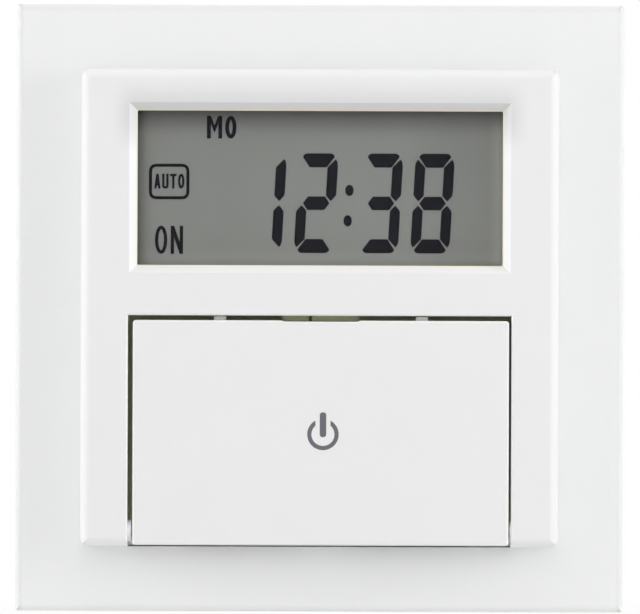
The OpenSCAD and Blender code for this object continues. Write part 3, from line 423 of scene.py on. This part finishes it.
def power(label, text, default):
    """The power of a lamp in watts, for a PropertyGroup."""
    return bpy.props.FloatProperty(name=label, description=text, default=default, min=0, unit="POWER")


def colour(label, text, default):
    """A linear colour, for a PropertyGroup."""
    return bpy.props.FloatVectorProperty(name=label, description=text, default=default, size=3,
                                         subtype="COLOR", min=0, max=1)


class MouldingSettings(bpy.types.PropertyGroup):
    """Finish of the white mouldings, with painted shade on their rounded edges and above the window."""
    tone: colour("White", "Colour of the plate and the flap", (0.80, 0.805, 0.80))
    frame_tone: colour("Frame white", "Colour of the cover frame", (0.830, 0.833, 0.839))
    cream: colour("Cream", "Colour of the walls of the plate's openings", (0.80, 0.73, 0.55))
    gloss: share("Roughness", "Roughness of the satin surface", 0.45)
    sheen: share("Sheen", "Strength of the reflection on the white surface", 0.3)
    grain: length("Grain", "Size of the eroded grain in the moulds", 0.00022)
    depth: length("Grain depth", "Depth of that grain", 0.0000012)
    matt: share("Matt white", "Share of the white on the hidden mouldings", 0.93)
    wire: colour("Hinge wire", "Colour of the hinge rod", (0.45, 0.45, 0.45))
    # The four shares below are painted shade: the white turns greyer on the rounded edges of frame and plate
    # and on the strip above the window
    frame_side: share("Frame sides", "Share of the white on the frame's rounded sides", 0.82)
    frame_brow: share("Frame top", "Share of the white on the frame's rounded upper edge", 0.92)
    plate_side: share("Plate sides", "Share of the white on the plate's rounded sides", 0.88)
    plate_roll: share("Plate roll", "Share of the white on the strip above the window", 0.82)


class DisplaySettings(bpy.types.PropertyGroup):
    """Look of the display and the sizes of its signs."""
    glass: colour("Display grey", "Colour of the display behind its signs", (0.272, 0.281, 0.266))
    ink: colour("Ink", "Colour of the signs that are switched on", (0.010, 0.010, 0.015))
    film: colour("Film", "Colour of the film behind the display", (0.55, 0.56, 0.54))
    # The shades and the glow below are painted: they darken the grey along the window's upper and left edges
    # and lighten it along the right and lower edges
    shade_top: length("Upper shade", "Reach of the shade under the window's upper edge", 0.0046)
    shade_left: length("Left shade", "Reach of the shade beside the window's left edge", 0.0036)
    top_share: share("Upper shade strength", "Strength of the shade at the window's upper edge", 0.64)
    left_share: share("Left shade strength", "Strength of the shade at the window's left edge", 0.66)
    low_share: share("Lower glow", "Strength of the glow at the window's lower edge", 0.42)
    digit_height: length("Digit height", "Height of the clock's digits", 0.01326)
    digit_width: length("Digit width", "Width of the clock's digits", 0.00522)
    digit_pitch: length("Digit pitch", "Distance from one digit to the next", 0.00686)
    colon_room: length("Colon room", "Extra distance where the colon stands", 0.00177)
    clock_x: length("Clock middle", "Middle of the clock's first digit, sideways", -0.00739)
    clock_z: length("Clock height", "Height of the clock's middle", 0.01394)
    slant: bpy.props.FloatProperty(name="Slant", description="Lean of the digits", default=math.radians(3.2),
                                   subtype="ANGLE")


class PowerSignSettings(bpy.types.PropertyGroup):
    """Size and place of the printed power sign."""
    ink: colour("Print", "Colour of the printed sign", (0.125, 0.125, 0.145))
    ring: length("Ring", "Outer diameter of the ring", 0.00417)
    line: length("Line", "Width of the ring's line", 0.00056)
    bar: length("Bar", "Width of the upright bar", 0.00086)
    mouth: length("Mouth", "Half width of the ring's opening", 0.0010)
    x: length("Sideways", "Middle of the sign, sideways", 0.00048)
    z: length("Height", "Height of the ring's middle", -0.01675)


class KeypadSettings(bpy.types.PropertyGroup):
    """Look of the keys behind the flap."""
    # The deck's pale olive is painted light: it stands in for the tint that light takes as it bounces in the
    # narrow gaps round the flap
    deck: colour("Deck", "Colour of the deck under the keys", (0.60, 0.635, 0.42))
    key: colour("Keys", "Colour of the keys", (0.20, 0.205, 0.21))
    plunger: colour("Plungers", "Colour of the switch plungers", (0.06, 0.06, 0.06))
    mark: colour("Key print", "Colour of the signs on the keys", (0.78, 0.78, 0.76))
    line: length("Line", "Width of the lines on the keys", 0.00035)
    sign: length("Sign", "Height of the signs on the keys", 0.0024)


class WorksSettings(bpy.types.PropertyGroup):
    """Colours of the electronics."""
    resist: colour("Solder resist", "Colour of the circuit boards", (0.02, 0.115, 0.045))
    track: colour("Tracks", "Colour of the boards over copper tracks", (0.045, 0.20, 0.075))
    black: colour("Black", "Colour of cases and pin strips", (0.018, 0.018, 0.02))
    can: colour("Cans", "Colour of the crystal's can and the cell", (0.74, 0.74, 0.72))
    spring: colour("Spring sheet", "Colour of the cell's clip", (0.66, 0.64, 0.58))
    film: colour("Film capacitor", "Colour of the film capacitor", (0.55, 0.33, 0.03))
    fuse: colour("Fuse", "Colour of the fuse", (0.14, 0.05, 0.02))
    sleeve: colour("Sleeve", "Colour of the smoothing capacitor's sleeve", (0.012, 0.015, 0.06))
    stripe: colour("Stripe", "Colour of the stripe on that sleeve", (0.55, 0.56, 0.58))


class WallSideSettings(bpy.types.PropertyGroup):
    """Colours of the ring, the insert and the claws."""
    steel: colour("Plated steel", "Colour of the zinc-plated parts", (0.66, 0.67, 0.66))
    brass: colour("Brass", "Colour of the terminals and pins", (0.74, 0.55, 0.25))
    insert: colour("Insert", "Colour of the insert's mouldings", (0.055, 0.056, 0.060))


class StageSettings(bpy.types.PropertyGroup):
    """Camera and light."""
    distance: length("Distance", "Camera to the front of the frame", 0.70)
    field: length("Field", "Width of the picture at the frame's front", 0.08526)
    look_x: length("Aim sideways", "Where the camera looks, sideways", 0.000033)
    look_z: length("Aim height", "Where the camera looks, up", 0.00013)
    roll: bpy.props.FloatProperty(name="Roll", description="Roll of the camera", default=math.radians(-0.2),
                                  subtype="ANGLE")
    floor: length("Floor", "Height of the floor, clear of the open flap", -0.062)
    sky: share("Sky", "Strength of the light from all round", 0.615)
    left: power("Left lamp", "Power of the lamp on the left", 2.3)
    right: power("Right lamp", "Power of the lamp on the right", 2.3)
    top: power("Top lamp", "Power of the low lamp over the upper edge", 0.42)
    high: power("High lamp", "Power of the wide lamp above the camera", 1.6)
    rear: power("Rear lamp", "Power of the lamp behind the wall side", 1.4)


# Operators

class SWITCH_OT_white_mouldings(bpy.types.Operator):
    """Frame, plate and flap in satin white."""
    bl_idname = "timer_switch.white_mouldings"
    bl_label = "White Mouldings"

    spread = 0.008

    # Where each painted shade and the cream begin and where they are full, in metres: in from a piece's edge,
    # or behind its front
    frame_side_in = (1.1 * MM, 0.4 * MM)
    frame_brow_in = (1.3 * MM, 0.5 * MM)
    plate_side_in = (1.0 * MM, 0.3 * MM)
    wall_front, wall_rear = (0.7 * MM, 0.9 * MM), (1.8 * MM, 1.7 * MM)

    # The same for the openings' cream walls and for the painted shade on the strip above the window, from the
    # middle of the part
    wall_side, wall_top, wall_low = (26.2 * MM, 26.0 * MM), (28.2 * MM, 28.0 * MM), (-27.9 * MM, -27.7 * MM)
    roll_side, roll_top, roll_low = (28.0 * MM, 24.5 * MM), (30.8 * MM, 26.2 * MM), (20.0 * MM, 25.0 * MM)

    def execute(self, context):
        s = context.scene.switch_mouldings
        for node, tone, tint in (("cover_frame", s.frame_tone, self.frame_tint),
                                 ("central_plate", s.tone, self.plate_tint), ("flap", s.tone, None)):
            finish = (s.gloss, s.grain, s.depth, self.spread)
            dress(moulded(f"satin_white_{node}", tone, *finish, s.sheen, tint), node)
        matt = moulded("matt_white", tinted(s.tone, s.matt), *FINISH["matt_white"])
        dress(matt, "lcd_holder", "module_back")
        dress(plated("drawn_wire", s.wire, *METAL["drawn_wire"]), "hinge_rod")
        return {"FINISHED"}

    @staticmethod
    def across(paint):
        """Distance from the upright middle plane, in metres."""
        return paint.node("ShaderNodeMath", {"operation": "ABSOLUTE"}, {0: paint.axis("X")})

    @staticmethod
    def near(paint, value, edge, reach):
        """0 to 1 as the value nears an edge, between the two distances in reach."""
        return paint.ramp(value, edge - reach[0], edge - reach[1])

    def frame_tint(self, paint, white):
        """Painted shade: a little greyer on the rounded edges at the top, the left and the right."""
        s = bpy.context.scene.switch_mouldings
        right, _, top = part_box("cover_frame")[1]
        brow = self.near(paint, paint.axis("Z"), top, self.frame_brow_in)
        white = paint.mix(brow, white, tinted(s.frame_tone, s.frame_brow))
        side = self.near(paint, self.across(paint), right, self.frame_side_in)
        return paint.mix(side, white, tinted(s.frame_tone, s.frame_side))

    def plate_tint(self, paint, white):
        """Cream on the walls of both openings, and painted shade: greyer above the window and on the rounded
        sides.
        """
        s = bpy.context.scene.switch_mouldings
        across, height = self.across(paint), paint.axis("Z")
        depth = paint.axis("Y") - front_of("central_plate")
        deep = paint.ramp(depth, *self.wall_front) * paint.ramp(depth, *self.wall_rear)
        inside = (paint.ramp(across, *self.wall_side) * paint.ramp(height, *self.wall_top)
                  * paint.ramp(height, *self.wall_low))
        # Painted shade on the plate's rounded sides
        side = self.near(paint, across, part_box("central_plate")[1][0], self.plate_side_in)
        white = paint.mix(side, white, tinted(s.tone, s.plate_side))
        # Painted shade on the strip above the window, fading out towards its ends
        roll = paint.ramp(height, *self.roll_top) * paint.ramp(height, *self.roll_low)
        white = paint.mix(roll * paint.ramp(across, *self.roll_side), white, tinted(s.tone, s.plate_roll))
        return paint.mix(deep * inside, white, s.cream)


def seven_segments(height, width):
    """Outlines of the seven segments round a digit's middle, in millimetres.

    The level ones taper inwards, the middle one is a hexagon, and the uprights are pointed at the
    middle and cut along the level ones at their far end. Mirroring in x and z gives all of them.
    """
    hw, hh = width / 2, height / 2
    level, upright, rise = 1.86, 1.37, 0.9
    inner, wide, flat = hw - 1.48, hw - 0.455, hw - 0.85
    top = eased([(-inner, hh - level), (inner, hh - level), (wide, hh - 0.42),
                 (flat, hh), (-flat, hh), (-wide, hh - 0.42)], [0.06, 0.06, 0.12, 0.25, 0.25, 0.12])
    middle = eased([(-inner, -rise), (inner, -rise), (flat, 0),
                    (inner, rise), (-inner, rise), (-flat, 0)], 0.07)
    right = eased([(hw - 0.68, 0.27), (hw, 1.08), (hw, hh - 1.35), (hw - 0.33, hh - 0.76),
                   (hw - upright, hh - level), (hw - upright, 1.0)],
                  [0.05, 0.15, 0.35, 0.07, 0.08, 0.1])
    turned = right[::-1]
    return {
        "top": top, "bottom": top[::-1] * (1, -1), "middle": middle,
        "right_high": right, "right_low": turned * (1, -1),
        "left_high": turned * (-1, 1), "left_low": right * (-1, -1),
    }


DIGITS = {
    "1": ("right_high", "right_low"),
    "2": ("top", "right_high", "middle", "left_low", "bottom"),
    "3": ("top", "right_high", "middle", "right_low", "bottom"),
    "8": ("top", "bottom", "middle", "right_high", "right_low", "left_high", "left_low"),
}


class SWITCH_OT_display(bpy.types.Operator):
    """Pane, glasses, film and contact strips of the display, with the clock and its legends."""
    bl_idname = "timer_switch.display"
    bl_label = "Display"

    clock = "12:38"

    # Each word of the display: its lower left and upper right corner, its line and its gap, in millimetres
    words = (
        ("MO", (-15.09, 22.5), (-11.16, 25.51), 0.52, 0.40),
        ("AUTO", (-22.08, 15.82), (-18.06, 17.78), 0.31, 0.20),
        ("ON", (-21.95, 7.14), (-18.22, 10.87), 0.44, 0.46),
    )

    # Box round the mode: its corners, their radius and its line, in millimetres
    border = ((-22.58, 14.6), (-17.6, 14.6), (-17.6, 18.92), (-22.58, 18.92))
    border_radius, border_line = 0.85, 0.41

    # Dots of the colon: width, height, distance above and below their middle, and how low that lies
    dot_width, dot_height, dot_rise, dot_drop = 1.11, 1.5, 2.02, 0.31

    # Multiples of the display's grey: its speckle, in full painted shade and in full painted light
    speckle, shaded, glowing = 0.06, 0.2, 2.0

    def execute(self, context):
        s = context.scene.switch_display
        self.dress_glass(s)
        ink = moulded("display_ink", s.ink, *FINISH["display_ink"], sheen=0.05)
        front = front_of("lcd_front_glass") - SEGMENT_PROUD
        for name, slabs in (("display_digits", self.digits(s)), ("display_legends", self.legends())):
            piece(name, slabs, front, SEGMENT_DEPTH, "switch_body", ink)
        return {"FINISHED"}

    def dress_glass(self, s):
        """Clear pane, grey polarised glass with painted shade and painted light along the window's edges,
        film and elastomer strips.
        """
        pane = Paint("clear_pane", {"Base Color": (0.05, 0.05, 0.05, 1), "Alpha": 0.05, "IOR": 1.49})
        pane.feed({"Roughness": pane.noise(0.4 * MM, 4, (0.2, 1, 1)) * 0.06 + 0.02})
        dress(pane.material, "display_pane")
        glass = Paint("display_grey", {"Specular IOR Level": 0.2})
        fog = glass.noise(5 * MM, 3)
        fibre = glass.noise(0.25 * MM, 2)
        grey = glass.mix(fog * 0.4 + fibre * 0.6,
                         tinted(s.glass, 1 - self.speckle), tinted(s.glass, 1 + self.speckle))
        low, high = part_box("lcd_front_glass")
        # Painted shade along the window's upper and left edges, painted light along its right and lower edges
        top = glass.ramp(glass.axis("Z"), high[2] - s.shade_top, high[2])
        left = glass.ramp(glass.axis("X"), low[0] + s.shade_left, low[0])
        right = glass.ramp(glass.axis("X"), high[0] - s.shade_left, high[0])
        under = glass.ramp(glass.axis("Z"), low[2] + s.shade_left, low[2])
        even = glass.mix(right + under * s.low_share, grey, tinted(s.glass, self.glowing))
        shade = top * s.top_share + left * s.left_share
        glass.feed({
            "Base Color": glass.mix(shade, even, tinted(s.glass, self.shaded)),
            "Roughness": fibre * 0.1 + 0.32,
        })
        dress(glass.material, "lcd_front_glass", "lcd_rear_glass")
        dress(moulded("pearl_film", s.film, *FINISH["pearl_film"]), "lcd_reflector")
        zebra = Paint("layered_elastomer", {"Roughness": 0.7})
        layer = zebra.node("ShaderNodeTexWave", {"wave_type": "BANDS", "bands_direction": "X"},
                           {"Vector": zebra.place(), "Scale": 2000.0, "Distortion": 0.4}, 1)
        zebra.feed({"Base Color": zebra.mix(layer, (0.02, 0.02, 0.02), (0.45, 0.42, 0.40))})
        dress(zebra.material, "contact_strips")

    def digits(self, s):
        """The clock's digits, sheared by x + tan(slant) z, and two ellipses for the colon."""
        outlines = seven_segments(s.digit_height / MM, s.digit_width / MM)
        lean = math.tan(s.slant)
        shear = np.array([[1, 0], [lean, 1]])
        middle = np.array([s.clock_x, s.clock_z]) / MM
        slabs = []
        for letter in self.clock:
            if letter == ":":
                colon = middle + np.array([(s.colon_room - s.digit_pitch) / MM / 2, -self.dot_drop])
                slabs += [disc(ellipse(colon + (lean * z, z), self.dot_width, self.dot_height))
                          for z in (self.dot_rise, -self.dot_rise)]
                middle = middle + np.array([s.colon_room / MM, 0])
                continue
            slabs += [disc(outlines[part] @ shear + middle) for part in DIGITS[letter]]
            middle = middle + np.array([s.digit_pitch / MM, 0])
        return slabs

    def legends(self):
        """Weekday above the clock, the boxed mode beside it and the state below the mode."""
        slabs = [stroke(eased(self.border, self.border_radius), self.border_line, True)]
        for word in self.words:
            slabs += lettering(*word)
        return slabs


class SWITCH_OT_power_sign(bpy.types.Operator):
    """Power sign printed on the flap."""
    bl_idname = "timer_switch.power_sign"
    bl_label = "Power Sign"

    def execute(self, context):
        s = context.scene.switch_power_sign
        middle = np.array([s.x, s.z]) / MM
        slabs = [self.ring(s, middle), self.bar(s, middle)]
        print_grey = moulded("printed_grey", s.ink, *FINISH["printed_grey"])
        piece("power_sign", slabs, front_of("flap") - PRINT_PROUD, PRINT_DEPTH,
              "flap", print_grey)
        return {"FINISHED"}

    def ring(self, s, middle):
        """Open ring: both edges are arcs that start and end where x is the mouth's half width."""
        edges = []
        for radius in (s.ring / 2, s.ring / 2 - s.line):
            start = math.acos(s.mouth / radius)
            a = np.linspace(start, -math.pi - start, 96)
            edges.append(middle + radius / MM * np.column_stack([np.cos(a), np.sin(a)]))
        return band(*edges)

    def bar(self, s, middle):
        """Upright bar with round ends, from inside the ring to above it."""
        half, low, high = s.bar / MM / 2, -0.37, 2.93
        corners = [(-half, low), (half, low), (half, high), (-half, high)]
        return disc(middle + eased(corners, half * 0.98))


class SWITCH_OT_keypad(bpy.types.Operator):
    """Deck, keys, reset pin and switch plungers behind the flap, with signs on the keys."""
    bl_idname = "timer_switch.keypad"
    bl_label = "Keypad"

    letters = {"day": "D", "hour": "H", "minute": "M", "program": "P"}

    def execute(self, context):
        s = context.scene.switch_keypad
        # The deck's olive is painted light for the tint of bounced light in the gaps
        dress(moulded("deck_pale_olive", s.deck, *FINISH["deck_pale_olive"]), "key_deck")
        grey = moulded("key_grey", s.key, *FINISH["key_grey"])
        dress(grey, *(f"{key}_key" for key in KEYS), "reset_pin", "power_key")
        dark = moulded("plunger_dark", s.plunger, *FINISH["plunger_dark"])
        dress(dark, *(f"{key}_plunger" for key in (*KEYS, "reset", "power")))
        pale = moulded("key_print", s.mark, *FINISH["key_print"])
        for key in KEYS:
            low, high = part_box(f"{key}_key")
            middle = np.array([low[0] + high[0], low[2] + high[2]]) / 2 / MM
            piece(f"{key}_sign", self.sign(key, middle, s), low[1] - PRINT_PROUD, PRINT_DEPTH,
                  f"{key}_key", pale)
        return {"FINISHED"}

    def sign(self, key, middle, s):
        """A letter, or for the mode a clock face and for enter a tick."""
        size, line = s.sign / MM, s.line / MM
        if key in self.letters:
            half = np.array([size * 0.36, size / 2])
            return lettering(self.letters[key], middle - half, middle + half, line, 0)
        if key == "mode":
            hour, minute = size * 0.26, size * 0.32
            hands = [(hour, 0), (hour, line), (line, line), (line, minute), (0, minute), (0, 0)]
            return [stroke(ellipse(middle, size, size, 48), line, True),
                    prism(middle - line / 2 + np.array(hands))]
        slant = line * math.sqrt(2)
        tick = [(-0.16, -0.4), (0.56, 0.32), (0.56, 0.32 + slant / size), (-0.16, -0.4 + slant / size),
                (-0.5, -0.06 + slant / size), (-0.5, -0.06)]
        return [prism(middle + size * np.array(tick))]


class SWITCH_OT_inner_works(bpy.types.Operator):
    """Boards and electronics of the module and of the insert."""
    bl_idname = "timer_switch.inner_works"
    bl_label = "Inner Works"

    def execute(self, context):
        s = context.scene.switch_works
        dress(self.board(s), "control_board", "power_board")
        black = moulded("case_black", s.black, *FINISH["case_black"])
        dress(black, "tact_housings", "microcontroller", "header_strip", "socket_strip", "relay")
        dress(plated("bright_can", s.can, *METAL["bright_can"]), "crystal", "backup_cell")
        dress(plated("spring_sheet", s.spring, *METAL["spring_sheet"]), "cell_clip")
        dress(moulded("film_yellow", s.film, *FINISH["film_yellow"]), "film_capacitor")
        dress(moulded("fuse_brown", s.fuse, *FINISH["fuse_brown"]), "fuse")
        dress(self.sleeve(s), "smoothing_capacitor")
        return {"FINISHED"}

    def board(self, s):
        """Solder resist over copper: a brick pattern gives the tracks, and they stand out a little."""
        paint = Paint("solder_resist")
        turned = paint.node("ShaderNodeMapping", {},
                            {"Vector": paint.place(), "Rotation": (math.pi / 2, 0, 0)})
        track = paint.node("ShaderNodeTexBrick", {"offset": 0.5},
                           {"Vector": turned, "Scale": 400.0, "Mortar Size": 0.06, "Brick Width": 2.4}, 1)
        weave_size, track_depth = 0.4 * MM, 0.015 * MM
        weave = paint.noise(weave_size, 2)
        paint.feed({
            "Base Color": paint.mix(track, s.resist, s.track),
            "Roughness": weave * 0.15 + 0.22,
            "Normal": paint.bump(track + weave * 0.1, track_depth),
        })
        return paint.material

    def sleeve(self, s):
        """Dark blue shrink sleeve with a pale stripe down one side."""
        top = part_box("smoothing_capacitor")[1][2]
        stripe_from, stripe_full, crease_size, crease_depth = 1.0 * MM, 0.8 * MM, 0.8 * MM, 0.004 * MM
        paint = Paint("shrink_sleeve")
        stripe = paint.ramp(paint.axis("Z"), top - stripe_from, top - stripe_full)
        crease = paint.noise(crease_size, 2)
        paint.feed({
            "Base Color": paint.mix(stripe, s.sleeve, s.stripe),
            "Roughness": crease * 0.15 + 0.2,
            "Normal": paint.bump(crease, crease_depth),
        })
        return paint.material


class SWITCH_OT_wall_side(bpy.types.Operator):
    """Support ring, insert, terminals and claws."""
    bl_idname = "timer_switch.wall_side"
    bl_label = "Wall Side"

    def execute(self, context):
        s = context.scene.switch_wall_side
        dress(plated("zinc_sheet", s.steel, *METAL["zinc_sheet"]), "support_ring")
        claws = [f"{side}_claw{part}" for side in ("left", "right") for part in ("", "_nut")]
        dress(plated("zinc_claw", tinted(s.steel, 0.96), *METAL["zinc_claw"]), *claws)
        screws = ("ring_screws", "module_screws", "terminal_screws", "left_claw_screw", "right_claw_screw")
        dress(plated("zinc_screw", tinted(s.steel, 1.05), *METAL["zinc_screw"]), *screws)
        dress(plated("terminal_brass", s.brass, *METAL["terminal_brass"], BRASS_DRIFT), "terminal_cages")
        dress(plated("pin_brass", tinted(s.brass, 1.05), *METAL["pin_brass"], BRASS_DRIFT), "header_pins")
        insert = moulded("insert_grey", s.insert, *FINISH["insert_grey"])
        dress(insert, "insert_housing", "insert_cover", "terminal_block")
        return {"FINISHED"}


class SWITCH_OT_stage(bpy.types.Operator):
    """Floor, soft lamps, sky and camera."""
    bl_idname = "timer_switch.stage"
    bl_label = "Stage"

    # Each lamp: its place, and its width and height, in metres
    lamps = {
        "left": ((-0.53, -0.06, 0.02), (0.10, 0.5)),
        "right": ((0.53, -0.14, 0.02), (0.10, 0.5)),
        "top": ((0.0, -0.14, 0.53), (0.5, 0.10)),
        "high": ((-0.12, -0.79, 0.62), (0.9, 0.85)),
        "rear": ((0.0, 0.50, 0.48), (0.5, 0.3)),
    }

    # Radii of the floor's rings, their corners, and where the floor fades to white, in metres
    floor_radii, floor_steps, floor_fade = (0.3, 0.8, 2.0), 64, (0.18, 0.45)

    def execute(self, context):
        s = context.scene.switch_stage
        scene = context.scene
        scene.view_settings.view_transform = "Standard"
        self.sky(scene, s)
        self.floor(scene, s)
        for name, (place, size) in self.lamps.items():
            self.lamp(scene, f"{name}_lamp", place, size, getattr(s, name))
        self.camera(scene, s)
        return {"FINISHED"}

    def sky(self, scene, s):
        """World that lights at the sky's strength and shows as white."""
        scene.world = bpy.data.worlds.new("pale_sky")
        scene.world.use_nodes = True
        nodes = Nodes(scene.world.node_tree)
        light, white = (nodes.node("ShaderNodeBackground", {}, {"Color": (1, 1, 1, 1), "Strength": strength})
                        for strength in (s.sky, 1.0))
        both = nodes.node("ShaderNodeMixShader", {}, {0: nodes.seen(), 1: light, 2: white})
        nodes.link("World Output", {"Surface": both})

    def floor(self, scene, s):
        """Pale disc P(r, a) that keeps the shadow near the object and fades to white far off."""
        steps = self.floor_steps
        r = np.array(self.floor_radii)[:, None]
        a = np.linspace(0, 2 * math.pi, steps, endpoint=False)[None, :]
        level = np.full((len(r), steps), s.floor)
        rings = np.stack([r * np.cos(a), r * np.sin(a), level], axis=-1).reshape(-1, 3)
        index = np.arange(len(r) * steps).reshape(-1, steps) + 1
        ahead = np.roll(index, -1, axis=1)
        quads = np.stack([index[:-1], index[1:], ahead[1:], ahead[:-1]], axis=-1).reshape(-1, 4)
        fan = np.stack([np.zeros(steps, int), index[0], ahead[0]], axis=-1)
        mesh = bpy.data.meshes.new("floor")
        mesh.from_pydata([(0, 0, s.floor)] + rings.tolist(), [], fan.tolist() + quads.tolist())
        paint = Paint("pale_floor", {"Roughness": 0.9})
        paint.feed({"Base Color": paint.mix(paint.noise(0.05, 2), (0.76, 0.76, 0.76), (0.79, 0.79, 0.79))})
        reach = paint.node("ShaderNodeVectorMath", {"operation": "LENGTH"}, {0: paint.place()}, 1)
        white = paint.node("ShaderNodeEmission", {}, {"Color": (1, 1, 1, 1), "Strength": 1.0})
        matt = Shade(paint, paint.shader.outputs[0])
        far = paint.ramp(reach, *self.floor_fade)
        both = paint.node("ShaderNodeMixShader", {}, {0: far * paint.seen(), 1: matt, 2: white})
        paint.link("Material Output", {"Surface": both})
        mesh.materials.append(paint.material)
        obj = bpy.data.objects.new("floor", mesh)
        scene.collection.objects.link(obj)

    def lamp(self, scene, name, place, size, power):
        """Rectangular soft lamp that faces the object."""
        data = bpy.data.lights.new(name, "AREA")
        data.shape = "RECTANGLE"
        data.size, data.size_y = size
        data.energy = power
        obj = bpy.data.objects.new(name, data)
        obj.location = place
        obj.rotation_euler = (-obj.location).to_track_quat("-Z", "Y").to_euler()
        scene.collection.objects.link(obj)

    def camera(self, scene, s):
        """Level camera on the front side; the lens fits the field's width at the frame's front."""
        data = bpy.data.cameras.new("camera")
        data.sensor_fit = "HORIZONTAL"
        data.lens = data.sensor_width * s.distance / s.field
        data.clip_end = 20
        obj = bpy.data.objects.new("camera", data)
        obj.location = (s.look_x, front_of("cover_frame") - s.distance, s.look_z)
        obj.rotation_euler = (math.pi / 2, s.roll, 0)
        scene.collection.objects.link(obj)
        scene.camera = obj


class SWITCH_PT_sidebar(bpy.types.Panel):
    """Lists the steps that dress the switch, with their settings."""
    bl_idname = "SWITCH_PT_sidebar"
    bl_label = "Timer Light Switch"
    bl_space_type = "VIEW_3D"
    bl_region_type = "UI"
    bl_category = "Timer Switch"

    def draw(self, context):
        for operator, _, name in STEPS:
            box = self.layout.box()
            box.operator(operator.bl_idname)
            settings = getattr(context.scene, name)
            for key in settings.__annotations__:
                box.prop(settings, key)


# Each step: its operator, the type of its settings and their name on the scene
STEPS = (
    (SWITCH_OT_white_mouldings, MouldingSettings, "switch_mouldings"),
    (SWITCH_OT_display, DisplaySettings, "switch_display"),
    (SWITCH_OT_power_sign, PowerSignSettings, "switch_power_sign"),
    (SWITCH_OT_keypad, KeypadSettings, "switch_keypad"),
    (SWITCH_OT_inner_works, WorksSettings, "switch_works"),
    (SWITCH_OT_wall_side, WallSideSettings, "switch_wall_side"),
    (SWITCH_OT_stage, StageSettings, "switch_stage"),
)


def register():
    for operator, settings, name in STEPS:
        bpy.utils.register_class(settings)
        setattr(bpy.types.Scene, name, bpy.props.PointerProperty(type=settings))
        bpy.utils.register_class(operator)
    bpy.utils.register_class(SWITCH_PT_sidebar)


def unregister():
    bpy.utils.unregister_class(SWITCH_PT_sidebar)
    for operator, settings, name in reversed(STEPS):
        bpy.utils.unregister_class(operator)
        delattr(bpy.types.Scene, name)
        bpy.utils.unregister_class(settings)


def main():
    """Dresses the switch step by step."""
    register()
    bpy.ops.timer_switch.white_mouldings()
    bpy.ops.timer_switch.display()
    bpy.ops.timer_switch.power_sign()
    bpy.ops.timer_switch.keypad()
    bpy.ops.timer_switch.inner_works()
    bpy.ops.timer_switch.wall_side()
    bpy.ops.timer_switch.stage()


if __name__ == "__main__":
    main()
